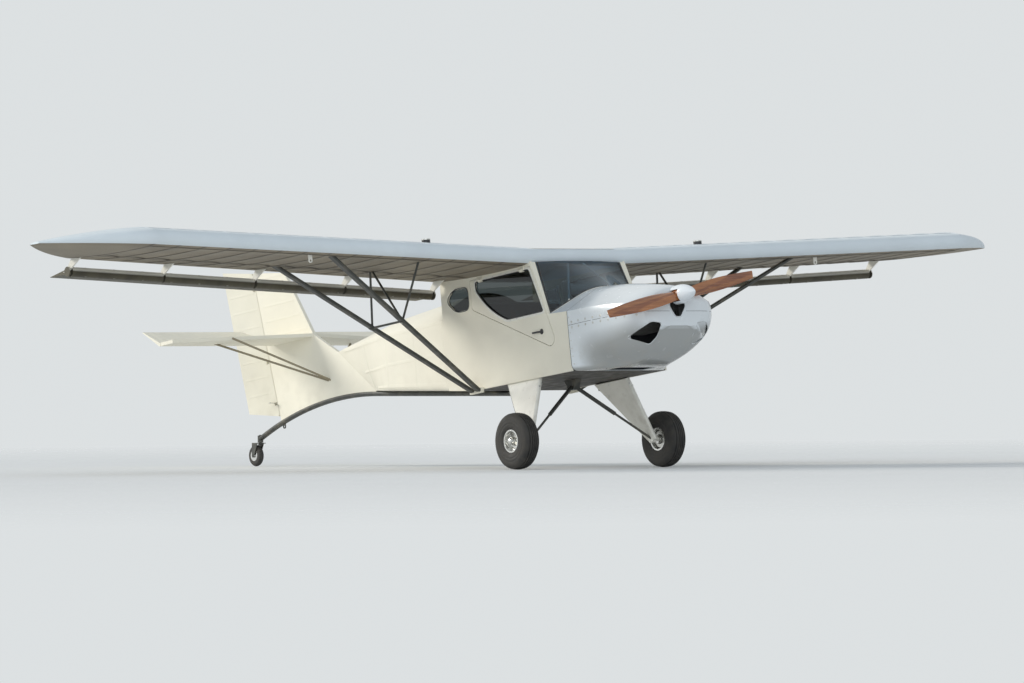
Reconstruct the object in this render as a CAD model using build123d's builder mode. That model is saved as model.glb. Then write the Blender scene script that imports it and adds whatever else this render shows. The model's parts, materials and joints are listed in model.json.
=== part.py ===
import os
from math import asin, atan2, cos, degrees, radians, sin, sqrt, tan
from build123d import *

# Strut-braced high-wing two-seat ultralight aircraft with a tail wheel. All sizes are in mm.
# It is drawn in level attitude: x forward from the wing's leading edge, y to the pilot's left, z up from a
# datum under the cabin. The last step sets it down on its three wheels.

# Clearances
moving_gap = 5.0
pin_gap = 0.3
pin_spare = 2.0
seat_gap = 0.3

# Wing
span = 9600.0
chord = 1245.0
wing_z = 942.0
incidence = 0.9
washout = 2.2
dihedral = 2.2
tip_start = 4080.0
tip_mid = 4480.0
tip_mid_chord = 760.0
tip_mid_sweep = 235.0
tip_chord = 130.0
tip_sweep = 560.0
skin = 12.0
spar_front = 120.0
spar_rear = 860.0

# Tie-down eyes
eye_r, eye_rim, eye_thick = 10.0, 8.0, 8.0
eye_y, eye_drop = 2560.0, 100.0
tail_eye_x = -4180.0

# Airfoil, as shares of the chord
crest_at, crest = 0.30, 0.095
belly_at, belly = 0.14, -0.045
nose_top = (-0.030, 0.055)
nose_tip = (0.0, 0.005)
nose_low = (-0.032, -0.038)
tail_half_share = 0.004

# Flaperon
flap_inset = 60.0
flap_end = 4090.0
flap_chord = 280.0
flap_thick = 34.0
flap_edge = 3.0
flap_hinge_x = -1285.0
flap_drop = 112.0
flap_nose = 75.0
hanger_count, hanger_inset = 5, 20.0
hanger_thick, hanger_eye_r = 12.0, 13.0
hanger_lead_x, hanger_lead_z = 240.0, -10.0
hanger_trail_x, hanger_trail_z = 100.0, 8.0
flap_pin_r, flap_pin_length = 4.0, 60.0

# Cabin
cabin_half = 480.0
roof_slope = 30.0
wall = 18.0
floor_thick = 14.0
firewall_x = 400.0
firewall_thick = 6.0
cabin_rear = -1226.0
floor_front = -33.0
floor_mid_x, floor_mid = -898.0, -17.0
screen_base_x, screen_top_x = 170.0, -12.0
screen_lean = 0.68
shoulder_z, crown_z = 456.0, 656.0
deck_shoulder, deck_crown = 445.0, 650.0
screen_top_z, screen_top_rise = 900.0, 10.0
pillar_wide, pillar_inward = 24.0, 50.0
rear_shoulder, rear_crown = 600.0, 829.0
glass_thick = 4.0
deck_thick = 8.0
nose_corner = 50.0

# Doors, hinged at the top under the wing
door_top = 868.0
door_rear = -830.0
door_low_rear = 630.0
door_low_front = 146.0
door_front = 265.0
door_corner = 60.0
door_hinge_r = 9.0
door_pin_r = 5.0
door_pin_length = 70.0
door_ear_thick, door_ear_root = 8.0, 12.0
door_hinge_stations = (-130.0, -680.0)
window_top, window_sill = 847.0, 487.0
window_margin = 16.0
window_sill_rear = -367.0
window_bow = (-575.0, 600.0)
window_rear, window_rear_low = -752.0, 775.0
window_corner = 25.0

# Quarter window behind the door
port_corners = ((-1150.0, 742.0), (-1060.0, 822.0), (-860.0, 822.0), (-860.0, 640.0), (-1030.0, 640.0))
port_round = 45.0
port_ring, port_ring_high = 14.0, 3.0

# Cowling and engine
cowl_wall = 6.0
thrust_z = 455.0
intake = ((-72.0, 402.0), (72.0, 402.0), (78.0, 366.0), (27.0, 288.0), (-27.0, 288.0), (-78.0, 366.0))
nose_x = 1205.0
split_z = 330.0
cheek_azimuth = 38.3
cheek_depth = 780.0
cheek = ((330.0, 143.0), (533.0, 248.0), (612.0, 234.0), (564.0, 138.0), (500.0, 84.0))
hole_round = 18.0
outlet_front, outlet_rear, outlet_half = 640.0, 430.0, 190.0
engine_x, engine_long, engine_wide, engine_high = 760.0, 440.0, 320.0, 280.0
engine_z = 370.0
mount_tube_r, mount_tube_inset = 11.0, 30.0
shaft_r = 24.0

# Propeller and spinner
prop_x = 1262.0
prop_radius = 760.0
prop_rest = 12.0
hub_r, hub_long = 62.0, 84.0
blade_slot = 96.0
spinner_r, spinner_behind, spinner_ahead = 76.0, 50.0, 185.0

# Lift struts and jury struts
strut_wide, strut_thick = 62.0, 26.0
strut_stand, strut_low_z = 32.0, -24.0
strut_seat_high, strut_seat_spare = 44.0, 35.0
strut_low_front, strut_low_rear = -795.0, -875.0
strut_top_y = 2430.0
jury_y = 1460.0
jury_r = 9.0
jury_top_shift = 30.0

# Main gear
axle_x, axle_z = -45.0, -532.0
wheel_out = 262.0
tyre_r, tyre_wide = 225.0, 150.0
rim_r, rim_wide = 92.0, 128.0
axle_r = 16.0
leg_top_front, leg_top_rear = -50.0, -485.0
leg_top_in, leg_low_out = 40.0, 148.0
leg_top_thick, leg_low_thick, leg_low_wide = 44.0, 30.0, 110.0
axle_boss, axle_boss_long, axle_spare = 14.0, 40.0, 8.0
cabane_x, cabane_low, cabane_wide, cabane_foot = -208.0, -105.0, 150.0, 60.0
shock_r, shock_rod_r = 16.0, 9.6
shock_body, shock_lap = 330.0, 30.0
shock_top_y, shock_top_up, shock_low_in, shock_low_up = 20.0, 24.0, 8.0, 4.0

# Rear fuselage, fin and keel tube
mid_x, mid_half, mid_shoulder, mid_crown = -2341.0, 250.0, 640.0, 772.0
fin_thick = 30.0
knife_top = (-3325.0, 641.0)
knife_low = (-2835.0, 245.0)
keel_r = 22.0
keel_front_x = -840.0
fin_bend = (-3645.0, 832.0)
fin_top_front = (-3990.0, 1405.0)
fin_top_rear = (-4440.0, 1464.0)
hinge_low = (-4227.0, 189.0)
hinge_top = (-4457.0, 1466.0)
rudder_low = (-4658.0, 290.0)
rudder_top = (-4876.0, 1531.0)
rudder_foot = 30.0

# Tailplane
tail_z = 829.0
tail_thick = 28.0
tail_half = 1200.0
tail_root_lead = -3650.0
tail_tip_lead = -4010.0
tail_hinge_x = -4205.0
elevator_chord = 265.0
elevator_up = 30.0
elevator_root = 40.0
rudder_room = 150.0
cross_tube_r = 10.0
tail_strut_r = 9.0
tail_strut_y = 720.0
tail_strut_low = (-3470.0, 420.0)
tail_strut_lead, tail_strut_trail = -3830.0, -4120.0

# Tail wheel
tail_axle_x, tail_axle_z = -4630.0, -64.0
tail_tyre_r, tail_tyre_wide = 90.0, 50.0
tail_axle_r = 7.0
tail_post_r = 12.0
fork_thick, fork_end, fork_spare = 6.0, 16.0, 14.0
swivel_ahead = 62.0
fork_top = 102.0
post_long = 74.0
socket_foot, socket_long, socket_wall = 8.0, 60.0, 12.0

# Cabin fittings
seat_front, seat_back_x = -240.0, -700.0
seat_base_z, seat_pad, back_pad = 190.0, 90.0, 70.0
seat_slope, seat_foot, seat_dip = 30.0, 20.0, 35.0
seat_back_lean, bench_high, back_high = 14.0, 520.0, 480.0
bench_thick, bench_post = 20.0, 30.0
panel_x, panel_low, panel_side, panel_high, panel_thick = 170.0, 370.0, 425.0, 600.0, 10.0
stick_r, stick_x, stick_top, stick_rake = 11.0, -60.0, 400.0, 20.0
cap_x, cap_y = -170.0, 1378.0
cap_r, cap_low, cap_top = 34.0, 60.0, 128.0

# Places that follow the cabin's width
flap_root = cabin_half + flap_inset
strut_low_y = cabin_half + strut_stand
leg_top_y, leg_low_y = cabin_half - leg_top_in, cabin_half + leg_low_out
wheel_y = cabin_half + wheel_out
seat_y, seat_half = cabin_half / 2 - 18, cabin_half / 2 - 45
spinner_base, spinner_tip = prop_x - spinner_behind, prop_x + spinner_ahead


def airfoil(size):
    """Draw the wing's section, leading edge at the origin, tail to the rear."""
    def at(share):
        return (share[0] * size, share[1] * size)

    with BuildSketch() as section:
        with BuildLine():
            TangentArc(at((-crest_at, crest)), at((-1, tail_half_share)), tangent=(-1, 0))
            TangentArc(at((-crest_at, crest)), at(nose_top), tangent=(1, 0))
            ThreePointArc(at(nose_top), at(nose_tip), at(nose_low))
            TangentArc(at((-belly_at, belly)), at(nose_low), tangent=(1, 0))
            TangentArc(at((-belly_at, belly)), at((-1, -tail_half_share)), tangent=(-1, 0))
            Line(at((-1, tail_half_share)), at((-1, -tail_half_share)))
        make_face()
    return section.sketch_local


def lift_at(y):
    """Give how much the dihedral lifts the wing at a station."""
    return max(0.0, y - cabin_half) * tan(radians(dihedral))


def wing_pitch(y):
    """Give the wing's pitch at a station, in radians: it washes out up to the tip's start."""
    share = min(1.0, max(0.0, (y - cabin_half) / (tip_start - cabin_half)))
    return radians(incidence - washout * share)


def wing_plane(y, back=0.0):
    """Give the side-view plane of the port wing at a station, at its leading edge and pitched."""
    pitch = wing_pitch(y)
    origin = (-back * cos(pitch), y, wing_z + lift_at(y) - back * sin(pitch))
    return Plane(origin=origin, x_dir=(cos(pitch), 0, sin(pitch)), z_dir=(0, -1, 0))


def body_section(half, low, shoulder, crown, corner):
    """Draw a fuselage section: flat bottom, upright sides and an arched top."""
    with BuildSketch() as section:
        with BuildLine():
            Line((-half + corner, low), (half - corner, low))
            RadiusArc((half - corner, low), (half, low + corner), -corner)
            Line((half, low + corner), (half, shoulder))
            ThreePointArc((half, shoulder), (0, crown), (-half, shoulder))
            Line((-half, shoulder), (-half, low + corner))
            RadiusArc((-half, low + corner), (-half + corner, low), -corner)
        make_face()
    return section.sketch_local


def brow(half, shoulder, crown):
    """Give the point where the straight slope from a shoulder meets the round crown."""
    slope = radians(roof_slope)
    bow = (half * tan(slope) - (crown - shoulder)) / (1 / cos(slope) - 1)
    return (bow * sin(slope), shoulder + (half - bow * sin(slope)) * tan(slope))


def nose_section(waist, half, foot, low, waist_z, shoulder, crown, corner):
    """Draw a cowling section: bowed sides, straight slopes above the shoulders and a round crown."""
    side, high = brow(half, shoulder, crown)
    with BuildSketch() as section:
        with BuildLine():
            Line((-foot, low), (foot, low))
            ThreePointArc((foot, low), (waist, waist_z), (half, shoulder))
            Line((half, shoulder), (side, high))
            ThreePointArc((side, high), (0, crown), (-side, high))
            Line((-side, high), (-half, shoulder))
            ThreePointArc((-half, shoulder), (-waist, waist_z), (-foot, low))
        make_face()
        fillet(section.vertices().group_by(Axis.Y)[0], corner)
    return section.sketch_local


def shell_section(outer, inner, stretch=1.0):
    """Draw the thin arched section between two roof lines, given as half, shoulder and crown."""
    with BuildSketch() as section:
        with BuildLine():
            ends = []
            for half, shoulder, crown in (outer, inner):
                side, high = brow(half, shoulder, crown)
                low, high, top = ((z - outer[1]) * stretch for z in (shoulder, high, crown))
                Line((half, low), (side, high))
                ThreePointArc((side, high), (0, top), (-side, high))
                Line((-side, high), (-half, low))
                ends.append((half, low))
            for hand in (1, -1):
                Line((hand * ends[0][0], ends[0][1]), (hand * ends[1][0], ends[1][1]))
        make_face()
    return section.sketch_local


def rod_plane(start, end):
    """Give the plane at a strut's start that looks along it, with its x direction near the aircraft's."""
    along = (Vector(*end) - Vector(*start)).normalized()
    forward = Vector(1, 0, 0)
    return Plane(origin=start, x_dir=forward - along * along.dot(forward), z_dir=along)


def rod_length(start, end):
    """Give the distance between two points."""
    return (Vector(*end) - Vector(*start)).length


def side_polygon(points):
    """Draw a closed side-view outline from its corners."""
    with BuildSketch() as outline:
        with BuildLine():
            Polyline(*points, close=True)
        make_face()
    return outline.sketch_local


def floor_at(x):
    """Give the height of the underside: gently down to the firewall, and straight up to the knife edge."""
    end_x, end_z = (firewall_x, floor_front) if x > floor_mid_x else knife_low
    return floor_mid + (x - floor_mid_x) / (end_x - floor_mid_x) * (end_z - floor_mid)


floor_rear = floor_at(cabin_rear)


# Parked attitude: the nose comes up until the main wheels and the tail wheel touch the same level floor.
wheel_base = sqrt((axle_x - tail_axle_x) ** 2 + (axle_z - tail_axle_z) ** 2)
parked_pitch = degrees(
    asin((tyre_r - tail_tyre_r) / wheel_base) - atan2(axle_z - tail_axle_z, axle_x - tail_axle_x)
)
nose_up = Location((0, 0, 0), (0, -parked_pitch, 0))
axle_parked = (nose_up * Location((axle_x, 0, axle_z))).position
nose_parked = (nose_up * Location((spinner_tip, 0, thrust_z))).position
tail_parked = (nose_up * Location((rudder_top[0], 0, rudder_top[1]))).position
parked = Location((-(nose_parked.X + tail_parked.X) / 2, 0, tyre_r - axle_parked.Z)) * nose_up

os.makedirs("parts", exist_ok=True)


def save(piece, label):
    """Set a finished piece down in the parked attitude and write it."""
    piece.part = piece.part.moved(parked)
    piece.part.label = label
    export_step(piece.part, f"parts/{label}.step")


def save_pair(piece, label):
    """Write a port piece and its mirrored starboard twin."""
    with BuildPart() as twin:
        mirror(piece.part, about=Plane.XZ, mode=Mode.ADD)
    save(piece, f"{label}_left")
    save(twin, f"{label}_right")


# Wing: constant section to the tip's start, then a tip that sweeps back to a point
tip_sections = (
    (tip_start, chord, 0.0), (tip_mid, tip_mid_chord, tip_mid_sweep), (span / 2, tip_chord, tip_sweep)
)
with BuildPart() as wing:
    with BuildSketch(wing_plane(cabin_half)):
        add(airfoil(chord))
    with BuildSketch(wing_plane(tip_start)):
        add(airfoil(chord))
    loft(ruled=True)
    for y, size, back in tip_sections:
        with BuildSketch(wing_plane(y, back)):
            add(airfoil(size))
    loft()


flap_rise = tan(radians(dihedral)) - flap_hinge_x * radians(washout) / (tip_start - cabin_half)


def flap_axis_z(y):
    """Give the height of the flaperon's straight hinge line at a station, below the wing's trailing edge."""
    return wing_z + flap_hinge_x * sin(radians(incidence)) - flap_drop + (y - cabin_half) * flap_rise


def flap_plane(y):
    """Give the side-view plane at the flaperon's hinge line."""
    pitch = radians(incidence)
    return Plane(
        origin=(flap_hinge_x, y, flap_axis_z(y)),
        x_dir=(cos(pitch), 0, sin(pitch)),
        z_dir=(0, -1, -flap_rise),
    )


hanger_slot = hanger_thick + 2 * moving_gap
hanger_step = (flap_end - flap_root - 2 * hanger_inset) / (hanger_count - 1)
hanger_stations = [flap_root + hanger_inset + n * hanger_step for n in range(hanger_count)]

# Flaperon: a small full-length wing hung below and behind the trailing edge on five hangers
with BuildPart() as flaperon:
    with BuildSketch(flap_plane(flap_end)):
        with BuildLine():
            nose = (flap_nose, 0)
            top = (0, flap_thick / 2)
            low = (0, -flap_thick / 2)
            tail = (flap_nose - flap_chord, -flap_thick / 4)
            ThreePointArc(top, nose, low)
            Line(low, tail)
            Line(tail, (tail[0], tail[1] + flap_edge))
            Line((tail[0], tail[1] + flap_edge), top)
        make_face()
    extrude(amount=(flap_end - flap_root) * sqrt(1 + flap_rise ** 2))
    for y in hanger_stations:
        with BuildSketch(flap_plane(y + hanger_slot / 2)):
            Rectangle(2 * flap_nose, 4 * flap_thick, align=(Align.MIN, Align.CENTER))
            Circle(hanger_eye_r + moving_gap)
        extrude(amount=hanger_slot, mode=Mode.SUBTRACT)
        with BuildSketch(flap_plane(y + flap_pin_length / 2)):
            Circle(flap_pin_r + pin_gap)
        extrude(amount=flap_pin_length, mode=Mode.SUBTRACT)

with BuildPart() as hangers:
    for y in hanger_stations:
        with BuildSketch(flap_plane(y + hanger_thick / 2)):
            Circle(hanger_eye_r)
            with BuildLine():
                Polyline(
                    (-hanger_eye_r, 0),
                    (hanger_eye_r, -hanger_eye_r / 2),
                    (hanger_lead_x, flap_drop + hanger_lead_z),
                    (hanger_trail_x, flap_drop + hanger_trail_z),
                    close=True,
                )
            make_face()
        extrude(amount=hanger_thick)
        with BuildSketch(flap_plane(y + flap_pin_length / 2 - pin_spare)):
            Circle(flap_pin_r)
        extrude(amount=flap_pin_length - 2 * pin_spare)


def eye(plane, height):
    """Make a tie-down eye: a plate that hangs from its top edge, with a hole along the plane's normal."""
    with BuildPart() as plate:
        with BuildSketch(plane.offset(-eye_thick / 2)):
            Circle(eye_r + eye_rim)
            Rectangle(2 * (eye_r + eye_rim), height, align=(Align.CENTER, Align.MIN))
            Circle(eye_r, mode=Mode.SUBTRACT)
        extrude(amount=eye_thick)
    return plate.part


wing_eye = (-spar_front, eye_y, wing_z + lift_at(eye_y) - eye_drop)
with BuildPart() as wing_fittings:
    add(hangers.part)
    add(eye(Plane(origin=wing_eye, x_dir=(0, 1, 0), z_dir=(1, 0, 0)), eye_drop))
    add(wing.part, mode=Mode.SUBTRACT)

# Centre section between the wings: a hollow roof with a skylight
roof_open_front, roof_open_rear = -130.0, -1090.0
sky_front, sky_rear, sky_half = -70.0, -640.0, cabin_half - 80.0
sky_low = wing_z + 20.0
with BuildPart() as centre_section:
    with BuildSketch(wing_plane(cabin_half)):
        add(airfoil(chord))
    extrude(amount=2 * cabin_half)
    with BuildSketch(wing_plane(cabin_half - wall)):
        add(airfoil(chord))
        offset(amount=-skin)
    extrude(amount=2 * (cabin_half - wall), mode=Mode.SUBTRACT)
    with BuildSketch(Plane.XY.offset(wing_z - chord / 2)):
        with Locations(((roof_open_front + roof_open_rear) / 2, 0)):
            Rectangle(roof_open_front - roof_open_rear, 2 * (cabin_half - wall))
    extrude(amount=chord / 2, mode=Mode.SUBTRACT)
    with BuildSketch(Plane.XY.offset(sky_low)):
        with Locations(((sky_front + sky_rear) / 2, 0)):
            Rectangle(sky_front - sky_rear, 2 * sky_half)
    extrude(amount=chord / 2, mode=Mode.SUBTRACT)

with BuildPart() as skylight:
    with BuildSketch(wing_plane(sky_half - seat_gap)):
        add(airfoil(chord))
        offset(amount=-(skin - glass_thick), mode=Mode.REPLACE)
    extrude(amount=2 * (sky_half - seat_gap))
    with BuildSketch(wing_plane(cabin_half)):
        add(airfoil(chord))
        offset(amount=-skin, mode=Mode.REPLACE)
    extrude(amount=2 * cabin_half, mode=Mode.SUBTRACT)
    with BuildSketch(Plane.XY.offset(sky_low)):
        with Locations(((sky_front + sky_rear) / 2, 0)):
            Rectangle(sky_front - sky_rear - 2 * seat_gap, 2 * (sky_half - seat_gap))
    extrude(amount=chord / 2, mode=Mode.INTERSECT)

# Cabin sides: walls with a doorway, a quarter window and a windscreen pillar, topped by the wing's section
side_top = wing_z + 60
side_outline = (
    (firewall_x, floor_front),
    (firewall_x, deck_shoulder),
    (screen_base_x, shoulder_z),
    (screen_top_x, screen_top_z),
    (screen_top_x - side_top + wing_z, side_top),
    (cabin_rear, side_top),
    (cabin_rear, floor_rear),
    (floor_mid_x, floor_mid),
)
pillar_slope = (screen_base_x - screen_top_x) / (shoulder_z - screen_top_z)
screen_top_half = cabin_half - pillar_inward


def pillar_x(z, back=0.0):
    """Give the x of the windscreen pillar's front line at a height, moved back by a margin."""
    return screen_top_x + (z - screen_top_z) * pillar_slope - back


door_outline = (
    (pillar_x(door_top, pillar_wide), door_top),
    (pillar_x(shoulder_z, pillar_wide), shoulder_z),
    (door_front, door_low_front),
    (door_rear, door_low_rear),
    (door_rear, door_top),
)


def door_sketch(shrink):
    """Draw the door's outline with rounded lower corners, drawn in by a gap."""
    with BuildSketch() as outline:
        add(side_polygon(door_outline))
        fillet(outline.vertices().group_by(Axis.Y)[0], door_corner)
        fillet(outline.vertices().sort_by(Axis.X)[:2].sort_by(Axis.Y)[0], door_corner)
        if shrink:
            offset(amount=-shrink)
    return outline.sketch_local


def window_sketch(shrink):
    """Draw the door window's outline, bowed at its low rear, drawn in by a margin."""
    low_front = (pillar_x(window_sill, pillar_wide + window_margin), window_sill)
    top_front = (pillar_x(window_top, pillar_wide + window_margin), window_top)
    with BuildSketch() as outline:
        with BuildLine():
            ThreePointArc((window_sill_rear, window_sill), window_bow, (window_rear, window_rear_low))
            Polyline((window_rear, window_rear_low), (window_rear, window_top), top_front, low_front,
                     (window_sill_rear, window_sill))
        make_face()
        fillet(outline.vertices(), window_corner)
        if shrink:
            offset(amount=-shrink)
    return outline.sketch_local


def port_sketch(grow):
    """Draw the quarter window's outline with rounded corners, grown by a margin."""
    with BuildSketch() as outline:
        add(side_polygon(port_corners))
        fillet(outline.vertices(), port_round)
        if grow:
            offset(amount=grow)
    return outline.sketch_local


door_axis_y = cabin_half + door_hinge_r
door_axis_z = door_top - moving_gap - door_hinge_r
port_plane = Plane.XZ.offset(-cabin_half)
with BuildPart() as cabin_side:
    with BuildSketch(port_plane):
        add(side_polygon(side_outline))
        add(door_sketch(0), mode=Mode.SUBTRACT)
        add(port_sketch(seat_gap), mode=Mode.SUBTRACT)
    extrude(amount=wall)
    with BuildSketch(port_plane):
        add(port_sketch(port_ring))
        add(port_sketch(seat_gap), mode=Mode.SUBTRACT)
    extrude(amount=-port_ring_high)
    for x, z, inner in (
        (screen_base_x, shoulder_z, cabin_half - wall),
        (screen_top_x, screen_top_z, screen_top_half),
    ):
        with BuildSketch(Plane.XY.offset(z)):
            with Locations((x, inner)):
                Rectangle(pillar_wide, cabin_half - inner, align=(Align.MAX, Align.MIN))
    loft(ruled=True)
    with BuildSketch(Plane.XY.offset(strut_low_z - strut_seat_high / 2)):
        with Locations(((strut_low_front + strut_low_rear) / 2, cabin_half)):
            Rectangle(strut_low_front - strut_low_rear + 2 * strut_seat_spare, strut_stand,
                      align=(Align.CENTER, Align.MIN))
    extrude(amount=strut_seat_high)
    for x in door_hinge_stations:
        for end in (-1, 1):
            ear_x = x + end * (door_pin_length / 2 - door_ear_thick / 2)
            with BuildSketch(Plane.YZ.offset(ear_x - door_ear_thick / 2)):
                with Locations((door_axis_y, door_axis_z)):
                    Circle(door_hinge_r)
                with Locations((cabin_half, door_axis_z)):
                    Rectangle(door_hinge_r, door_top - door_axis_z + door_ear_root,
                              align=(Align.MIN, Align.MIN))
            extrude(amount=door_ear_thick)
        with BuildSketch(Plane.YZ.offset(x - door_pin_length / 2)):
            with Locations((door_axis_y, door_axis_z)):
                Circle(door_pin_r)
        extrude(amount=door_pin_length)
    with BuildSketch(wing_plane(cabin_half)):
        add(airfoil(chord))
        with BuildLine():
            Polyline((20, nose_tip[1] * chord), (-chord, 0), (-chord, chord), (20, chord), close=True)
        make_face()
    extrude(amount=2 * pillar_inward, both=True, mode=Mode.SUBTRACT)

# Door: one panel as thick as the wall, window cut through, knuckles on the hinge pins
knuckle_long = door_pin_length - 2 * door_ear_thick - 2 * moving_gap
with BuildPart() as door:
    with BuildSketch(port_plane):
        add(door_sketch(moving_gap))
        add(window_sketch(0), mode=Mode.SUBTRACT)
    extrude(amount=wall)
    for x in door_hinge_stations:
        with BuildSketch(Plane.YZ.offset(x - knuckle_long / 2)):
            with Locations((door_axis_y, door_axis_z)):
                Circle(door_hinge_r)
                Rectangle(2 * door_hinge_r, 2 * door_hinge_r, align=(Align.MAX, Align.MAX))
        extrude(amount=knuckle_long)
        with BuildSketch(Plane.YZ.offset(x - door_pin_length / 2)):
            with Locations((door_axis_y, door_axis_z)):
                Circle(door_pin_r + pin_gap)
        extrude(amount=door_pin_length, mode=Mode.SUBTRACT)
        for end in (-1, 1):
            ear_x = x + end * (door_pin_length / 2 - door_ear_thick / 2)
            with BuildSketch(Plane.YZ.offset(ear_x - door_ear_thick / 2 - moving_gap)):
                with Locations((door_axis_y, door_axis_z)):
                    Circle(door_hinge_r + moving_gap)
            extrude(amount=door_ear_thick + 2 * moving_gap, mode=Mode.SUBTRACT)

with BuildPart() as door_pane:
    with BuildSketch(Plane.XZ.offset(-cabin_half + wall / 2)):
        add(window_sketch(seat_gap))
    extrude(amount=glass_thick)

with BuildPart() as port_panes:
    for middle in (cabin_half - wall / 2, -cabin_half + wall / 2):
        with BuildSketch(Plane.XZ.offset(-middle - glass_thick / 2)):
            add(port_sketch(0.0))
        extrude(amount=glass_thick)

# Belly floor between the side walls
inner_half = cabin_half - wall
with BuildPart() as belly_floor:
    with BuildSketch(Plane.XZ.offset(-inner_half)):
        add(side_polygon((
            (firewall_x, floor_front),
            (floor_mid_x, floor_mid),
            (cabin_rear, floor_rear),
            (cabin_rear, floor_rear + floor_thick),
            (floor_mid_x, floor_mid + floor_thick),
            (firewall_x, floor_front + floor_thick),
        )))
    extrude(amount=2 * inner_half)

# Nose deck from the windscreen's base, which bows forward, to the firewall
base_plane = Plane(origin=(screen_base_x, 0, shoulder_z), x_dir=(0, 1, 0), z_dir=(1, 0, -screen_lean))
base_stretch = sqrt(1 + screen_lean ** 2)
with BuildPart() as nose_deck:
    with BuildSketch(base_plane):
        add(shell_section(
            (cabin_half, shoulder_z, crown_z), (inner_half, shoulder_z, crown_z - deck_thick), base_stretch
        ))
    with BuildSketch(Plane.YZ.offset(firewall_x)):
        with Locations((0, deck_shoulder)):
            add(shell_section(
                (cabin_half, deck_shoulder, deck_crown), (inner_half, deck_shoulder, deck_crown - deck_thick)
            ))
    loft(ruled=True)

# Windscreen: one bowed pane from the nose deck up to the wing's leading edge, between the pillars
pane_crown = crown_z - deck_thick
screen_brow = screen_top_half * brow(inner_half, shoulder_z, pane_crown)[0] / inner_half
with BuildPart() as windscreen:
    with BuildSketch(base_plane):
        add(shell_section(
            (inner_half, shoulder_z, pane_crown),
            (inner_half - glass_thick, shoulder_z, pane_crown - glass_thick),
            base_stretch,
        ))
    with BuildSketch(Plane.YZ.offset(screen_top_x)):
        with BuildLine():
            for glass_in in (0.0, glass_thick):
                half, low = screen_top_half - glass_in, screen_top_z - glass_in
                side, high = screen_brow * half / screen_top_half, low + screen_top_rise * 0.8
                Line((half, low), (side, high))
                ThreePointArc((side, high), (0, low + screen_top_rise), (-side, high))
                Line((-side, high), (-half, low))
            for hand in (1, -1):
                Line((hand * screen_top_half, screen_top_z),
                     (hand * (screen_top_half - glass_thick), screen_top_z - glass_thick))
        make_face()
    loft(ruled=True)

# Cowling sections: x, how far waist, shoulder and foot lie inside the cabin's half width, then the heights of
# the low line, waist, shoulder and crown, and the lower corner's radius
cowl_columns = (
    (firewall_x + firewall_thick, 0.0, 0.0, 4.0, floor_front, 250.0, deck_shoulder, deck_crown, nose_corner),
    (550.0, 4.0, 10.0, 130.0, -40.0, 255.0, 443.0, 638.0, 68.0),
    (700.0, 10.0, 24.0, 240.0, -41.0, 260.0, 440.0, 622.0, 90.0),
    (950.0, 34.0, 47.0, 330.0, 5.0, 266.0, 425.0, 582.0, 90.0),
    (1110.0, 75.0, 87.0, 320.0, 115.0, 272.0, 415.0, 550.0, 60.0),
    (1190.0, 160.0, 170.0, 360.0, 192.0, 302.0, 410.0, 522.0, 45.0),
    (nose_x, 240.0, 248.0, 400.0, 215.0, 310.0, 400.0, 500.0, 40.0),
)


def cowl_section(column, skin_in):
    """Draw one of the cowling's sections, drawn in by its skin."""
    waist, half, foot = (cabin_half - inset - skin_in for inset in column[1:4])
    low, waist_z, shoulder, crown, corner = column[4:]
    low, crown, corner = low + skin_in, crown - skin_in, corner - skin_in
    return nose_section(waist, half, foot, low, waist_z, shoulder, crown, corner)


with BuildPart() as firewall:
    with BuildSketch(Plane.YZ.offset(firewall_x)):
        add(cowl_section(cowl_columns[0], 0.0))
    extrude(amount=firewall_thick)

# Cowling: a smooth loft to the nose's shoulder, then the blunt nose
with BuildPart() as cowl_solid:
    for column in cowl_columns[:-1]:
        with BuildSketch(Plane.YZ.offset(column[0])):
            add(cowl_section(column, 0.0))
    loft()
    for column in cowl_columns[-2:]:
        with BuildSketch(Plane.YZ.offset(column[0])):
            add(cowl_section(column, 0.0))
    loft(ruled=True)
with BuildPart() as cowl_hollow:
    for column in cowl_columns[:-1]:
        with BuildSketch(Plane.YZ.offset(column[0])):
            add(cowl_section(column, cowl_wall))
    loft()
    for column in cowl_columns[-2:]:
        with BuildSketch(Plane.YZ.offset(min(column[0], nose_x - cowl_wall))):
            add(cowl_section(column, cowl_wall))
    loft(ruled=True)

cheek_planes = []
for side in (1, -1):
    turn = radians(cheek_azimuth)
    cheek_planes.append((side, Plane(
        origin=(0, 0, 0), x_dir=(-side * sin(turn), cos(turn), 0), z_dir=(cos(turn), side * sin(turn), 0),
    )))
with BuildPart() as cowl:
    add(cowl_solid.part)
    add(cowl_hollow.part, mode=Mode.SUBTRACT)
    with BuildSketch(Plane.YZ.offset(nose_x - 4 * cowl_wall)) as nose_holes:
        add(side_polygon(intake))
        fillet(nose_holes.vertices(), hole_round)
        with Locations((0, thrust_z)):
            Circle(shaft_r + moving_gap)
    extrude(amount=8 * cowl_wall, mode=Mode.SUBTRACT)
    for side, plane in cheek_planes:
        with BuildSketch(plane.offset(cheek_depth)) as cheek_hole:
            add(side_polygon([(-side * s, z) for s, z in cheek]))
            fillet(cheek_hole.vertices(), hole_round)
        extrude(amount=2 * cheek_depth, mode=Mode.SUBTRACT)
    with BuildSketch(Plane.XY.offset(floor_front - chord / 2)):
        with Locations(((outlet_front + outlet_rear) / 2, 0)):
            RectangleRounded(outlet_front - outlet_rear, 2 * outlet_half, 2 * hole_round)
    extrude(amount=chord / 2 + 2 * nose_corner, mode=Mode.SUBTRACT)
with BuildPart() as cowl_upper:
    add(cowl.part)
    split(bisect_by=Plane.XY.offset(split_z), keep=Keep.TOP)
with BuildPart() as cowl_lower:
    add(cowl.part)
    split(bisect_by=Plane.XY.offset(split_z), keep=Keep.BOTTOM)

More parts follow.
